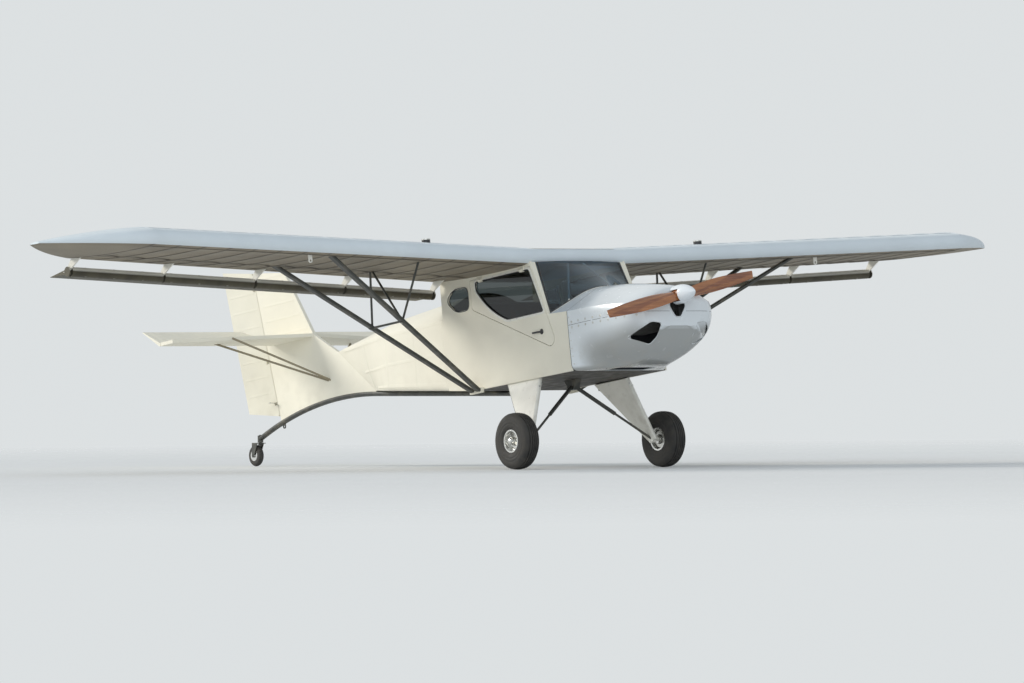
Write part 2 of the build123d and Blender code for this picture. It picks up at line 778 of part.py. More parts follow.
# Engine: one plain block on four tubes to the firewall, with the propeller shaft
engine_rear = engine_x - engine_long / 2
with BuildPart() as engine_block:
    with Locations((engine_x, 0, engine_z)):
        Box(engine_long, engine_wide, engine_high)
    with BuildSketch(Plane.YZ.offset(engine_x)):
        with Locations((0, thrust_z)):
            Circle(shaft_r)
    extrude(amount=prop_x - engine_x)
    with BuildSketch(Plane.YZ.offset(firewall_x + firewall_thick)):
        with Locations((0, engine_z)):
            with GridLocations(engine_wide - 2 * mount_tube_inset, engine_high - 2 * mount_tube_inset, 2, 2):
                Circle(mount_tube_r)
    extrude(amount=engine_rear - firewall_x - firewall_thick)

# Propeller: two carved wooden blades on a round hub
blade_columns = ((50.0, 78.0, 40.0, 34.0), (240.0, 112.0, 24.0, 26.0), (520.0, 100.0, 14.0, 17.0),
                 (prop_radius, 62.0, 7.0, 12.0))
with BuildPart() as blade:
    for radius, wide, thick, pitch in blade_columns:
        with BuildSketch(Plane.XY.offset(radius).rotated((0, 0, pitch))):
            with BuildLine():
                ThreePointArc((0, -wide / 2), (thick * 0.65, 0), (0, wide / 2))
                ThreePointArc((0, wide / 2), (-thick * 0.35, 0), (0, -wide / 2))
            make_face()
    loft()
with BuildPart() as propeller:
    with BuildSketch(Plane.YZ.offset(prop_x - hub_long / 2)):
        with Locations((0, thrust_z)):
            Circle(hub_r)
    extrude(amount=hub_long)
    for turn in (0, 180):
        add(blade.part.moved(Location((prop_x, 0, thrust_z), (90 + prop_rest + turn, 0, 0))))
    with BuildSketch(Plane.YZ.offset(prop_x - hub_long)):
        with Locations((0, thrust_z)):
            Circle(shaft_r + pin_gap)
    extrude(amount=hub_long + seat_gap, mode=Mode.SUBTRACT)

with BuildPart() as spinner:
    with BuildSketch(Plane.XZ):
        with BuildLine():
            Line((spinner_base, thrust_z), (spinner_base, thrust_z + spinner_r))
            Line((spinner_base, thrust_z + spinner_r), (prop_x, thrust_z + spinner_r))
            TangentArc((prop_x, thrust_z + spinner_r), (spinner_tip, thrust_z), tangent=(1, 0))
            Line((spinner_tip, thrust_z), (spinner_base, thrust_z))
        make_face()
    revolve(axis=Axis((0, 0, thrust_z), (1, 0, 0)))
    with BuildSketch(Plane.YZ.offset(spinner_base)):
        with Locations((0, thrust_z)):
            Circle(hub_r + seat_gap)
            Rectangle(4 * spinner_r, blade_slot, rotation=prop_rest)
    extrude(amount=prop_x + hub_long / 2 + seat_gap - spinner_base, mode=Mode.SUBTRACT)

# Lift struts: two streamlined tubes from a fitting at the floor's side up to the wing's spars
def strut(low, high):
    """Make one streamlined strut that runs on into the pieces at its ends, to be trimmed by them."""
    with BuildPart() as tube:
        with BuildSketch(rod_plane(low, high)):
            SlotOverall(strut_wide, strut_thick)
        extrude(amount=rod_length(low, high))
    return tube.part


def rod(low, high, radius):
    """Make one round tube."""
    with BuildPart() as tube:
        with BuildSketch(rod_plane(low, high)):
            Circle(radius)
        extrude(amount=rod_length(low, high))
    return tube.part


def spar_z(y, back):
    """Give the height of the wing's mean line above the struts' tops."""
    return wing_z + lift_at(y) - back * sin(wing_pitch(y))


def along(low, high, y):
    """Give the point of a strut's axis at a station."""
    share = (y - low[1]) / (high[1] - low[1])
    return tuple(a + share * (b - a) for a, b in zip(low, high))


strut_low_points = (
    (strut_low_front, strut_low_y, strut_low_z),
    (strut_low_rear, strut_low_y, strut_low_z),
)
strut_high_points = (
    (-spar_front, strut_top_y, spar_z(strut_top_y, spar_front)),
    (-spar_rear, strut_top_y, spar_z(strut_top_y, spar_rear)),
)
with BuildPart() as strut_front:
    add(strut(strut_low_points[0], strut_high_points[0]))
    add(wing.part, mode=Mode.SUBTRACT)
    add(cabin_side.part, mode=Mode.SUBTRACT)
with BuildPart() as strut_rear:
    add(strut(strut_low_points[1], strut_high_points[1]))
    add(wing.part, mode=Mode.SUBTRACT)
    add(cabin_side.part, mode=Mode.SUBTRACT)

# Jury struts: thin tubes from the middle of the lift struts to the spars, with one diagonal
jury_front = along(strut_low_points[0], strut_high_points[0], jury_y)
jury_rear = along(strut_low_points[1], strut_high_points[1], jury_y)
jury_front_top = (-spar_front - jury_top_shift, jury_y, spar_z(jury_y, spar_front))
jury_rear_top = (-spar_rear + jury_top_shift, jury_y, spar_z(jury_y, spar_rear))
with BuildPart() as jury_struts:
    add(rod(jury_front, jury_front_top, jury_r))
    add(rod(jury_rear, jury_rear_top, jury_r))
    add(rod(jury_front, jury_rear_top, jury_r))
    add(rod(jury_front, jury_rear, jury_r))
    for piece in (strut_front, strut_rear, wing):
        add(piece.part, mode=Mode.SUBTRACT)

# Rear fuselage: from the cabin's full section to a knife edge that carries the fin
rear_corner = 40.0
knife_lean = atan2(knife_low[0] - knife_top[0], knife_top[1] - knife_low[1])
knife_long = sqrt((knife_low[0] - knife_top[0]) ** 2 + (knife_top[1] - knife_low[1]) ** 2)
knife_plane = Plane(
    origin=(knife_low[0], 0, knife_low[1]),
    x_dir=(0, 1, 0),
    z_dir=(cos(knife_lean), 0, sin(knife_lean)),
)
with BuildPart() as rear_fuselage:
    with BuildSketch(Plane.YZ.offset(cabin_rear)):
        add(body_section(cabin_half, floor_rear, rear_shoulder, rear_crown, rear_corner))
    with BuildSketch(Plane.YZ.offset(mid_x)):
        add(body_section(mid_half, floor_at(mid_x), mid_shoulder, mid_crown, rear_corner))
    with BuildSketch(knife_plane):
        add(body_section(fin_thick / 2, 0, knife_long - 8, knife_long, 6))
    loft(ruled=True)

# Tail wheel's axes, square to the floor that it parks on
upright = Vector(sin(radians(parked_pitch)), 0, cos(radians(parked_pitch)))
level = Vector(cos(radians(parked_pitch)), 0, -sin(radians(parked_pitch)))
tail_axle = Vector(tail_axle_x, 0, tail_axle_z)
swivel_foot = tail_axle + level * swivel_ahead + upright * fork_top
post_plane = Plane(origin=tuple(swivel_foot), x_dir=tuple(level), z_dir=tuple(upright))
fork_plane = Plane(origin=tuple(tail_axle), x_dir=tuple(level), z_dir=(0, -1, 0))

# Keel tube: straight under the belly, then curved down to the tail wheel's socket
keel_slope = atan2(knife_low[1] - floor_mid, floor_mid_x - knife_low[0])
keel_drop = keel_r / cos(keel_slope) + 0.2
keel_start = (keel_front_x, 0, floor_mid - (keel_front_x - floor_mid_x) * tan(keel_slope) - keel_drop)
keel_knife = (knife_low[0], 0, knife_low[1] - keel_drop)
keel_end = swivel_foot + upright * (socket_foot + socket_long / 2)
with BuildLine() as keel_bend:
    TangentArc(keel_knife, tuple(keel_end), tangent=(-cos(keel_slope), 0, sin(keel_slope)))
tail_eye_seat = keel_bend.line @ ((keel_knife[0] - tail_eye_x) / (keel_knife[0] - keel_end.X))
tail_eye = (tail_eye_seat.X, 0, tail_eye_seat.Z - keel_r - eye_r - eye_rim)
with BuildPart() as keel_tube:
    with BuildLine() as keel_path:
        Line(keel_start, keel_knife)
        add(keel_bend.line)
    with BuildSketch(Plane(origin=keel_start, z_dir=(-cos(keel_slope), 0, sin(keel_slope)))):
        Circle(keel_r)
    sweep(path=keel_path.wires()[0])
    add(eye(Plane(origin=tail_eye, x_dir=(1, 0, 0), z_dir=(0, -1, 0)), keel_r + eye_rim))
    with BuildSketch(post_plane.offset(socket_foot)):
        Circle(tail_post_r + socket_wall)
    extrude(amount=socket_long)
    with BuildSketch(post_plane.offset(socket_foot - socket_long)):
        Circle(tail_post_r + pin_gap)
    extrude(amount=3 * socket_long, mode=Mode.SUBTRACT)

# Fin: the flat upright surface between the knife edge and the rudder's hinge line
hinge_lean = atan2(hinge_low[0] - hinge_top[0], hinge_top[1] - hinge_low[1])
post_back = fin_thick / 2 + moving_gap


def hinge_x(z, ahead=0.0):
    """Give the x of the rudder's hinge line at a height, moved ahead by a margin."""
    share = (z - hinge_low[1]) / (hinge_top[1] - hinge_low[1])
    return hinge_low[0] + share * (hinge_top[0] - hinge_low[0]) + ahead


fin_foot = 0.0
fin_outline = (
    knife_low,
    knife_top,
    fin_bend,
    fin_top_front,
    (hinge_x(fin_top_rear[1], post_back), fin_top_rear[1]),
    (hinge_x(fin_foot, post_back), fin_foot),
    (knife_low[0], fin_foot),
)
rudder_hinge_heights = (330.0, 690.0, 1320.0)
lug_long = 14.0
rudder_pin_r, rudder_pin_long = 4.0, 60.0


def hinge_plane(z):
    """Give the plane across the rudder's hinge line at a height, x forward."""
    return Plane(
        origin=(hinge_x(z), 0, z),
        x_dir=(cos(hinge_lean), 0, sin(hinge_lean)),
        z_dir=(-sin(hinge_lean), 0, cos(hinge_lean)),
    )


with BuildPart() as fin:
    with BuildSketch(Plane.XZ.offset(-fin_thick / 2)):
        add(side_polygon(fin_outline))
        with BuildLine():
            keel_from = (keel_knife[0], keel_knife[2])
            keel_to = (keel_end.X, keel_end.Z)
            TangentArc(keel_from, keel_to, tangent=(-cos(keel_slope), sin(keel_slope)))
            Polyline(keel_to, (keel_to[0], fin_foot - chord), (keel_from[0] + chord, fin_foot - chord),
                     (keel_from[0] + chord, keel_from[1] - chord * tan(keel_slope)), keel_from)
        make_face(mode=Mode.SUBTRACT)
    extrude(amount=fin_thick)
    for z in rudder_hinge_heights:
        with BuildSketch(hinge_plane(z).offset(-lug_long / 2)):
            Circle(fin_thick / 2 - 4)
            Rectangle(post_back + 12, fin_thick - 8, align=(Align.MIN, Align.CENTER))
        extrude(amount=lug_long)
        with BuildSketch(hinge_plane(z).offset(-rudder_pin_long / 2)):
            Circle(rudder_pin_r)
        extrude(amount=rudder_pin_long)
    with BuildSketch(Plane.XZ.offset(-fin_thick)):
        with Locations((tail_hinge_x, tail_z)):
            Circle(cross_tube_r + moving_gap)
    extrude(amount=2 * fin_thick, mode=Mode.SUBTRACT)
    add(keel_tube.part, mode=Mode.SUBTRACT)
    add(rear_fuselage.part, mode=Mode.SUBTRACT)

rudder_outline = (
    (hinge_x(hinge_low[1] + rudder_foot), hinge_low[1] + rudder_foot),
    hinge_top,
    rudder_top,
    rudder_low,
)
with BuildPart() as rudder:
    with BuildSketch(Plane.XZ.offset(-fin_thick / 2)):
        add(side_polygon(rudder_outline))
    extrude(amount=fin_thick)
    with BuildSketch(hinge_plane(hinge_low[1] + rudder_foot + 12)):
        Circle(fin_thick / 2)
    extrude(amount=(hinge_top[1] - hinge_low[1] - rudder_foot - 30) / cos(hinge_lean))
    for z in rudder_hinge_heights:
        with BuildSketch(hinge_plane(z).offset(-lug_long / 2 - moving_gap)):
            Rectangle(fin_thick + 30, fin_thick + 10)
        extrude(amount=lug_long + 2 * moving_gap, mode=Mode.SUBTRACT)
        with BuildSketch(hinge_plane(z).offset(-rudder_pin_long / 2 - 2)):
            Circle(rudder_pin_r + pin_gap)
        extrude(amount=rudder_pin_long + 4, mode=Mode.SUBTRACT)

# Tailplane: one flat surface through the fin, swept leading edge, straight hinge line
tail_axis = Plane(origin=(tail_hinge_x, 0, tail_z), x_dir=(1, 0, 0), z_dir=(0, -1, 0))
tail_back = tail_hinge_x + tail_thick / 2 + moving_gap
elevator_hinge_stations = (180.0, 620.0, 1060.0)
elevator_pin_r, elevator_pin_long = 4.0, 60.0


def across(y):
    """Give the side-view plane on the elevator's hinge line at a station."""
    return tail_axis.offset(-y)


with BuildPart() as tailplane:
    with BuildSketch(Plane.XY.offset(tail_z - tail_thick / 2)):
        with BuildLine():
            Polyline(
                (tail_back, -tail_half),
                (tail_tip_lead, -tail_half),
                (tail_root_lead, -fin_thick / 2),
                (tail_root_lead, fin_thick / 2),
                (tail_tip_lead, tail_half),
                (tail_back, tail_half),
                close=True,
            )
        make_face()
    extrude(amount=tail_thick)
    for side in (1, -1):
        for y in elevator_hinge_stations:
            with BuildSketch(across(side * y + lug_long / 2)):
                Circle(tail_thick / 2 - 4)
                Rectangle(tail_thick / 2 + moving_gap + 10, tail_thick - 8, align=(Align.MIN, Align.CENTER))
            extrude(amount=lug_long)
            with BuildSketch(across(side * y + elevator_pin_long / 2)):
                Circle(elevator_pin_r)
            extrude(amount=elevator_pin_long)
    add(fin.part, mode=Mode.SUBTRACT)

# Elevator: two halves on one cross tube behind the fin, held up as it parks
elevator_turn = radians(elevator_up)
elevator_plane = Plane(
    origin=(tail_hinge_x, 0, tail_z),
    x_dir=(cos(elevator_turn), 0, -sin(elevator_turn)),
    z_dir=(0, -1, 0),
)
with BuildPart() as elevator:
    for side in (1, -1):
        start = tail_half if side == 1 else -elevator_root
        with BuildSketch(elevator_plane.offset(-start)):
            with BuildLine():
                ThreePointArc((0, tail_thick / 2), (tail_thick / 2, 0), (0, -tail_thick / 2))
                Line((0, -tail_thick / 2), (-elevator_chord, -4))
                Line((-elevator_chord, -4), (-elevator_chord, 4))
                Line((-elevator_chord, 4), (0, tail_thick / 2))
            make_face()
        extrude(amount=tail_half - elevator_root)
    with BuildSketch(elevator_plane.offset(-elevator_root - 40)):
        Circle(cross_tube_r)
    extrude(amount=2 * (elevator_root + 40))
    for side in (1, -1):
        with BuildSketch(Plane(
            origin=(tail_hinge_x, 0, tail_z), x_dir=elevator_plane.x_dir,
            z_dir=(sin(elevator_turn), 0, cos(elevator_turn)),
        ).offset(-tail_thick)):
            with BuildLine():
                Polyline(
                    (-2 * cross_tube_r, side * (elevator_root - 5)),
                    (-2 * cross_tube_r, side * (elevator_root + 8)),
                    (-elevator_chord - 10, side * (elevator_root + rudder_room)),
                    (-elevator_chord - 10, side * (elevator_root - 5)),
                    close=True,
                )
            make_face()
        extrude(amount=2 * tail_thick, mode=Mode.SUBTRACT)
        for y in elevator_hinge_stations:
            with BuildSketch(across(side * y + lug_long / 2 + moving_gap)):
                Circle(tail_thick / 2 + moving_gap)
            extrude(amount=lug_long + 2 * moving_gap, mode=Mode.SUBTRACT)
            with BuildSketch(across(side * y + elevator_pin_long / 2 + 2)):
                Circle(elevator_pin_r + pin_gap)
            extrude(amount=elevator_pin_long + 4, mode=Mode.SUBTRACT)

# Tail struts: a thin V under each side of the tailplane
with BuildPart() as tail_struts:
    for x, shift in ((tail_strut_lead, tail_strut_r), (tail_strut_trail, -2 * tail_strut_r)):
        for side in (1, -1):
            start = (tail_strut_low[0] + shift, side * fin_thick / 4, tail_strut_low[1])
            add(rod(start, (x, side * tail_strut_y, tail_z), tail_strut_r))
    add(tailplane.part, mode=Mode.SUBTRACT)
    add(fin.part, mode=Mode.SUBTRACT)

# Main gear: a faired leg on each side, its axle stub, and a shock strut from the cabane under the belly
with BuildPart() as gear_leg:
    leg_from = (0, leg_top_y, floor_at(leg_top_front) - 1)
    leg_to = (0, leg_low_y, axle_z)
    leg_dir = Vector(*leg_to) - Vector(*leg_from)
    with BuildSketch(Plane(origin=leg_from, x_dir=(1, 0, 0), z_dir=leg_dir)):
        with Locations(((leg_top_front + leg_top_rear) / 2, 0)):
            SlotOverall(leg_top_front - leg_top_rear, leg_top_thick)
    with BuildSketch(Plane(origin=leg_to, x_dir=(1, 0, 0), z_dir=leg_dir)):
        with Locations((axle_x, 0)):
            SlotOverall(leg_low_wide, leg_low_thick)
    loft(ruled=True)
    with BuildSketch(Plane.XZ.offset(-leg_low_y + axle_boss_long / 2)):
        with Locations((axle_x, axle_z)):
            Circle(axle_r + axle_boss)
    extrude(amount=-axle_boss_long)
    with BuildSketch(Plane.XZ.offset(-leg_low_y)):
        with Locations((axle_x, axle_z)):
            Circle(axle_r)
    extrude(amount=-(wheel_y - leg_low_y + rim_wide / 2 + axle_spare))
    add(belly_floor.part, mode=Mode.SUBTRACT)
    add(cabin_side.part, mode=Mode.SUBTRACT)

with BuildPart() as gear_cabane:
    with BuildSketch(Plane.XZ.offset(-cabane_foot / 2)):
        add(side_polygon((
            (cabane_x + cabane_wide / 2, floor_at(cabane_x + cabane_wide / 2)),
            (cabane_x + cabane_foot / 2, cabane_low),
            (cabane_x - cabane_foot / 2, cabane_low),
            (cabane_x - cabane_wide / 2, floor_at(cabane_x - cabane_wide / 2)),
        )))
    extrude(amount=cabane_foot)

shock_top = (cabane_x, shock_top_y, cabane_low + shock_top_up)
shock_low = (axle_x, leg_low_y - shock_low_in, axle_z + shock_low_up)
with BuildPart() as shock:
    add(rod(shock_top, along(shock_top, shock_low, shock_body), shock_r))
    add(rod(along(shock_top, shock_low, shock_body - shock_lap), shock_low, shock_rod_r))
    add(gear_cabane.part, mode=Mode.SUBTRACT)
    add(gear_leg.part, mode=Mode.SUBTRACT)
with BuildPart() as shock_struts:
    add(shock.part)
    mirror(shock.part, about=Plane.XZ)

# Wheels: rim with a bearing bore, tyre with a rounded section
wheel_axis = Axis((axle_x, 0, axle_z), (0, 1, 0))
wheel_plane = Plane(origin=(axle_x, wheel_y, axle_z), x_dir=(0, 1, 0), z_dir=(1, 0, 0))
hub_bore_r = axle_r + pin_gap
with BuildPart() as rim:
    with BuildSketch(wheel_plane):
        with BuildLine():
            Polyline(
                (-rim_wide / 2, hub_bore_r),
                (-rim_wide / 2, hub_bore_r + 14),
                (-rim_wide / 6, hub_bore_r + 22),
                (-rim_wide / 6, rim_r - 22),
                (-rim_wide / 2, rim_r - 12),
                (-rim_wide / 2, rim_r),
                (rim_wide / 2, rim_r),
                (rim_wide / 2, rim_r - 12),
                (rim_wide / 6, rim_r - 22),
                (rim_wide / 6, hub_bore_r + 22),
                (rim_wide / 2, hub_bore_r + 14),
                (rim_wide / 2, hub_bore_r),
                close=True,
            )
        make_face()
    revolve(axis=wheel_axis)

tyre_tread, tyre_bead = 0.32, 0.40
with BuildPart() as tyre:
    with BuildSketch(wheel_plane):
        with BuildLine():
            Line((-tyre_bead * tyre_wide, rim_r), (tyre_bead * tyre_wide, rim_r))
            ThreePointArc((tyre_bead * tyre_wide, rim_r), (tyre_wide / 2, (rim_r + tyre_r) / 2),
                          (tyre_tread * tyre_wide, tyre_r - 14))
            ThreePointArc((tyre_tread * tyre_wide, tyre_r - 14), (0, tyre_r),
                          (-tyre_tread * tyre_wide, tyre_r - 14))
            ThreePointArc((-tyre_tread * tyre_wide, tyre_r - 14), (-tyre_wide / 2, (rim_r + tyre_r) / 2),
                          (-tyre_bead * tyre_wide, rim_r))
        make_face()
    revolve(axis=wheel_axis)

# Tail wheel: a swivelling fork on a post, upright as it parks, and its wheel
fork_inner = tail_tyre_wide / 2 + moving_gap
with BuildPart() as tail_fork:
    with BuildSketch(post_plane):
        with BuildLine():
            Polyline(
                (tail_post_r + fork_spare, -fork_inner - fork_thick),
                (tail_post_r + fork_spare, fork_inner + fork_thick),
                (-swivel_ahead - fork_spare, fork_inner + fork_thick),
                (-swivel_ahead - fork_spare, -fork_inner - fork_thick),
                close=True,
            )
        make_face()
    extrude(amount=fork_thick)
    for side in (1, -1):
        start = -(fork_inner + fork_thick) if side == 1 else fork_inner
        with BuildSketch(fork_plane.offset(start)):
            with BuildLine():
                Polyline((-fork_end, 0), (fork_end, 0), (swivel_ahead, fork_top), (-fork_spare, fork_top), close=True)
            make_face()
            Circle(fork_end)
        extrude(amount=fork_thick)
    with BuildSketch(fork_plane.offset(-fork_inner - fork_thick)):
        Circle(tail_axle_r)
    extrude(amount=2 * (fork_inner + fork_thick))
    with BuildSketch(post_plane):
        Circle(tail_post_r)
    extrude(amount=post_long)

tail_wheel_plane = Plane(origin=tuple(tail_axle), x_dir=(0, 1, 0), z_dir=tuple(level))
with BuildPart() as tail_wheel:
    with BuildSketch(tail_wheel_plane):
        with BuildLine():
            half, bore = tail_tyre_wide / 2, tail_axle_r + pin_gap
            Line((-half, bore), (half, bore))
            Line((half, bore), (half, tail_tyre_r - half))
            ThreePointArc((half, tail_tyre_r - half), (0, tail_tyre_r), (-half, tail_tyre_r - half))
            Line((-half, tail_tyre_r - half), (-half, bore))
        make_face()
    revolve(axis=Axis(tuple(tail_axle), (0, 1, 0)))

# Cabin fittings: two seats on a bench, instrument panel and sticks
lean = tan(radians(seat_back_lean))
bench_top = seat_base_z - seat_slope + bench_high
with BuildPart() as seat_bench:
    with BuildSketch(Plane.XZ.offset(-(seat_y + seat_half))):
        add(side_polygon((
            (seat_front - seat_foot, floor_at(seat_front) + floor_thick),
            (seat_front, seat_base_z),
            (seat_back_x, seat_base_z - seat_slope),
            (seat_back_x - bench_high * lean, bench_top),
            (seat_back_x - bench_high * lean - bench_thick, bench_top),
            (seat_back_x - bench_post, seat_base_z - seat_slope - bench_thick / 2),
            (seat_back_x - bench_post, floor_at(seat_back_x) + floor_thick),
        )))
    extrude(amount=2 * (seat_y + seat_half))
    add(belly_floor.part, mode=Mode.SUBTRACT)
with BuildPart() as seat:
    with BuildSketch(Plane.XZ.offset(-(seat_y + seat_half))):
        add(side_polygon((
            (seat_front, seat_base_z + seat_gap),
            (seat_front, seat_base_z + seat_pad),
            (seat_back_x + back_pad, seat_base_z + seat_pad - seat_dip),
            (seat_back_x + back_pad - back_high * lean, seat_base_z + back_high),
            (seat_back_x + seat_gap - (back_high + seat_slope) * lean, seat_base_z + back_high),
            (seat_back_x + seat_gap, seat_base_z - seat_slope + seat_gap),
        )))
    extrude(amount=2 * seat_half)
with BuildPart() as instrument_panel:
    with BuildSketch(Plane.YZ.offset(panel_x)):
        with BuildLine():
            Line((-inner_half, panel_low), (inner_half, panel_low))
            Line((inner_half, panel_low), (inner_half, panel_side))
            ThreePointArc((inner_half, panel_side), (0, panel_high), (-inner_half, panel_side))
            Line((-inner_half, panel_side), (-inner_half, panel_low))
        make_face()
    extrude(amount=panel_thick)
with BuildPart() as control_sticks:
    for side in (1, -1):
        add(rod((stick_x - stick_rake, side * seat_y, floor_at(stick_x)),
                (stick_x, side * seat_y, stick_top), stick_r))
    add(belly_floor.part, mode=Mode.SUBTRACT)

# Fuel caps on the wings' leading edge, above the tanks
with BuildPart() as fuel_cap:
    with BuildSketch(Plane.XY.offset(wing_z + lift_at(cap_y) + cap_low)):
        with Locations((cap_x, cap_y)):
            Circle(cap_r)
    extrude(amount=cap_top - cap_low)
    add(wing.part, mode=Mode.SUBTRACT)

save_pair(wing, "wing")
save_pair(wing_fittings, "wing_fittings")
save_pair(flaperon, "flaperon")
save_pair(strut_front, "lift_strut_front")
save_pair(strut_rear, "lift_strut_rear")
save_pair(jury_struts, "jury_struts")
save_pair(fuel_cap, "fuel_cap")
save_pair(cabin_side, "cabin_side")
save_pair(door, "door")
save_pair(door_pane, "door_pane")
save_pair(gear_leg, "gear_leg")
save_pair(rim, "rim")
save_pair(tyre, "tyre")
save_pair(seat, "seat")
save(centre_section, "centre_section")
save(skylight, "skylight")
save(port_panes, "quarter_panes")
save(belly_floor, "belly_floor")
save(nose_deck, "nose_deck")
save(windscreen, "windscreen")
save(firewall, "firewall")
save(cowl_upper, "cowl_upper")
save(cowl_lower, "cowl_lower")
save(engine_block, "engine_block")
save(propeller, "propeller")
save(spinner, "spinner")
save(rear_fuselage, "rear_fuselage")
save(keel_tube, "keel_tube")
save(fin, "fin")
save(rudder, "rudder")
save(tailplane, "tailplane")
save(elevator, "elevator")
save(tail_struts, "tail_struts")
save(gear_cabane, "gear_cabane")
save(shock_struts, "shock_struts")
save(tail_fork, "tail_fork")
save(tail_wheel, "tail_wheel")
save(seat_bench, "seat_bench")
save(instrument_panel, "instrument_panel")
save(control_sticks, "control_sticks")
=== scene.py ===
import json
from math import atan2, cos, pi, radians, sin, sqrt, tan

import bmesh
import bpy
from mathutils import Matrix, Vector, noise


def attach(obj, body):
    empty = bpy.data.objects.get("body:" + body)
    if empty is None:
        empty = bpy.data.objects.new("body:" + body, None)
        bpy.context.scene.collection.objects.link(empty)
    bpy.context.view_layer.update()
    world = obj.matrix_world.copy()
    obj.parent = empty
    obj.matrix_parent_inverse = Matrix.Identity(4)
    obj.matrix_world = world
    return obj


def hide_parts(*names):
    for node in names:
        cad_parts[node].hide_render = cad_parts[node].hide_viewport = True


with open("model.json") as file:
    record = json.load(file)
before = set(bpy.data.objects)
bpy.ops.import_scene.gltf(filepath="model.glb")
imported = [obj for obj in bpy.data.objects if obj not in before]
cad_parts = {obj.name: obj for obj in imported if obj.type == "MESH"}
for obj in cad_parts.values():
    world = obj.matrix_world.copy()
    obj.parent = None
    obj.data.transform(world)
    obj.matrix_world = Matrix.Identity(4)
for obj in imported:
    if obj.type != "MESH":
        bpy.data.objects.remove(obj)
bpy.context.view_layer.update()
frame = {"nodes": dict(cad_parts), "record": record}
nodes, record = frame["nodes"], frame["record"]
stage = bpy.context.scene

# The aircraft's own level frame, in mm: x forward from the wing's leading edge, y to port, z up
PITCH = radians(7.5066365)
SHIFT = Vector((1.8295328, 0.0, 0.7583195))
AHEAD = Vector((cos(PITCH), 0, sin(PITCH)))
UP = Vector((-sin(PITCH), 0, cos(PITCH)))
PORT = Vector((0, 1, 0))
SIDES = (("left", 1), ("right", -1))
BESIDE = 900.0  # how far out the looks at the aircraft's side start


def at(x, y, z):
    """Turn a place in the aircraft's level frame, in mm, into a place in the scene."""
    return SHIFT + (AHEAD * x + PORT * y + UP * z) / 1000


def towards(first, second, a):
    """Turn from one direction towards another by an angle."""
    return first * cos(a) + second * sin(a)


def smooth(t):
    """Ease a share in and out."""
    t = min(1.0, max(0.0, t))
    return t * t * (3 - 2 * t)


def arc(start, through, end, count):
    """Sample the arc through three points of a plane."""
    (ax, ay), (bx, by), (cx, cy) = start, through, end
    d = 2 * (ax * (by - cy) + bx * (cy - ay) + cx * (ay - by))
    a2, b2, c2 = ax * ax + ay * ay, bx * bx + by * by, cx * cx + cy * cy
    mx = (a2 * (by - cy) + b2 * (cy - ay) + c2 * (ay - by)) / d
    my = (a2 * (cx - bx) + b2 * (ax - cx) + c2 * (bx - ax)) / d
    radius = sqrt((ax - mx) ** 2 + (ay - my) ** 2)
    first = atan2(ay - my, ax - mx)
    turn = (atan2(cy - my, cx - mx) - first) % (2 * pi)
    if (atan2(by - my, bx - mx) - first) % (2 * pi) > turn:
        turn -= 2 * pi
    return [(mx + radius * cos(first + turn * k / count), my + radius * sin(first + turn * k / count))
            for k in range(count + 1)]


# Mesh builders
def shape():
    """Start a shape: a pair of lists, its points and its faces."""
    return [], []


def ring_of(count, wide, high=None):
    """Give a round or oval section from its half sizes in metres."""
    return [(cos(2 * pi * k / count) * wide, sin(2 * pi * k / count) * (high or wide)) for k in range(count)]


def bar_of(wide, low, high):
    """Give a flat section from its half width and its two heights in metres."""
    return [(-wide, low), (wide, low), (wide, high), (-wide, high)]


def swept(mesh, path, section, up, ring=False):
    """Run a closed section of (side, height) pairs in metres along a path, height towards up."""
    verts, faces = mesh
    first, count, last = len(verts), len(section), len(path) - 1
    for n, point in enumerate(path):
        before = path[n - 1] if n or ring else path[0]
        after = path[(n + 1) % len(path)] if n < last or ring else path[last]
        run = (after - before).normalized()
        side = run.cross(up).normalized()
        rise = side.cross(run)
        verts.extend(point + side * s + rise * h for s, h in section)
    for n in range(last + 1 if ring else last):
        m = (n + 1) % len(path)
        for k in range(count):
            j = (k + 1) % count
            a, b = first + n * count, first + m * count
            faces.append((a + k, a + j, b + j, b + k))
    if not ring:
        faces.append(tuple(first + k for k in reversed(range(count))))
        faces.append(tuple(first + last * count + k for k in range(count)))


def tube(mesh, path, radius, sides=12):
    """Run a round tube of a radius in mm along a path."""
    run = path[-1] - path[0]
    up = Vector((0, 0, 1)) if abs(run.normalized().z) < 0.9 else Vector((1, 0, 0))
    swept(mesh, path, ring_of(sides, radius / 1000), up)


def tape(mesh, path, out, wide=24.0, high=1.2, ring=False):
    """Lay a thin domed tape, sizes in mm, along a path on a surface that faces out."""
    w, h = wide / 2000, high / 1000
    section = [(-w, -h), (-w, h * 0.3), (-w * 0.8, h), (0, h * 1.15), (w * 0.8, h), (w, h * 0.3), (w, -h)]
    swept(mesh, path, section, out, ring)


def turned(mesh, centre, axis, profile, steps=32):
    """Turn a profile of (along, radius) pairs in mm round an axis; a radius of 0 closes an end."""
    verts, faces = mesh
    axis = axis.normalized()
    side = axis.orthogonal().normalized()
    other = axis.cross(side)
    rows = []
    for along, radius in profile:
        middle = centre + axis * along / 1000
        if radius <= 0:
            rows.append([len(verts)])
            verts.append(middle)
            continue
        rows.append(list(range(len(verts), len(verts) + steps)))
        for k in range(steps):
            verts.append(middle + towards(side, other, 2 * pi * k / steps) * radius / 1000)
    for a, b in zip(rows, rows[1:]):
        for k in range(steps):
            m = (k + 1) % steps
            if len(a) == 1:
                faces.append((a[0], b[m], b[k]))
            elif len(b) == 1:
                faces.append((a[k], a[m], b[0]))
            else:
                faces.append((a[k], a[m], b[m], b[k]))


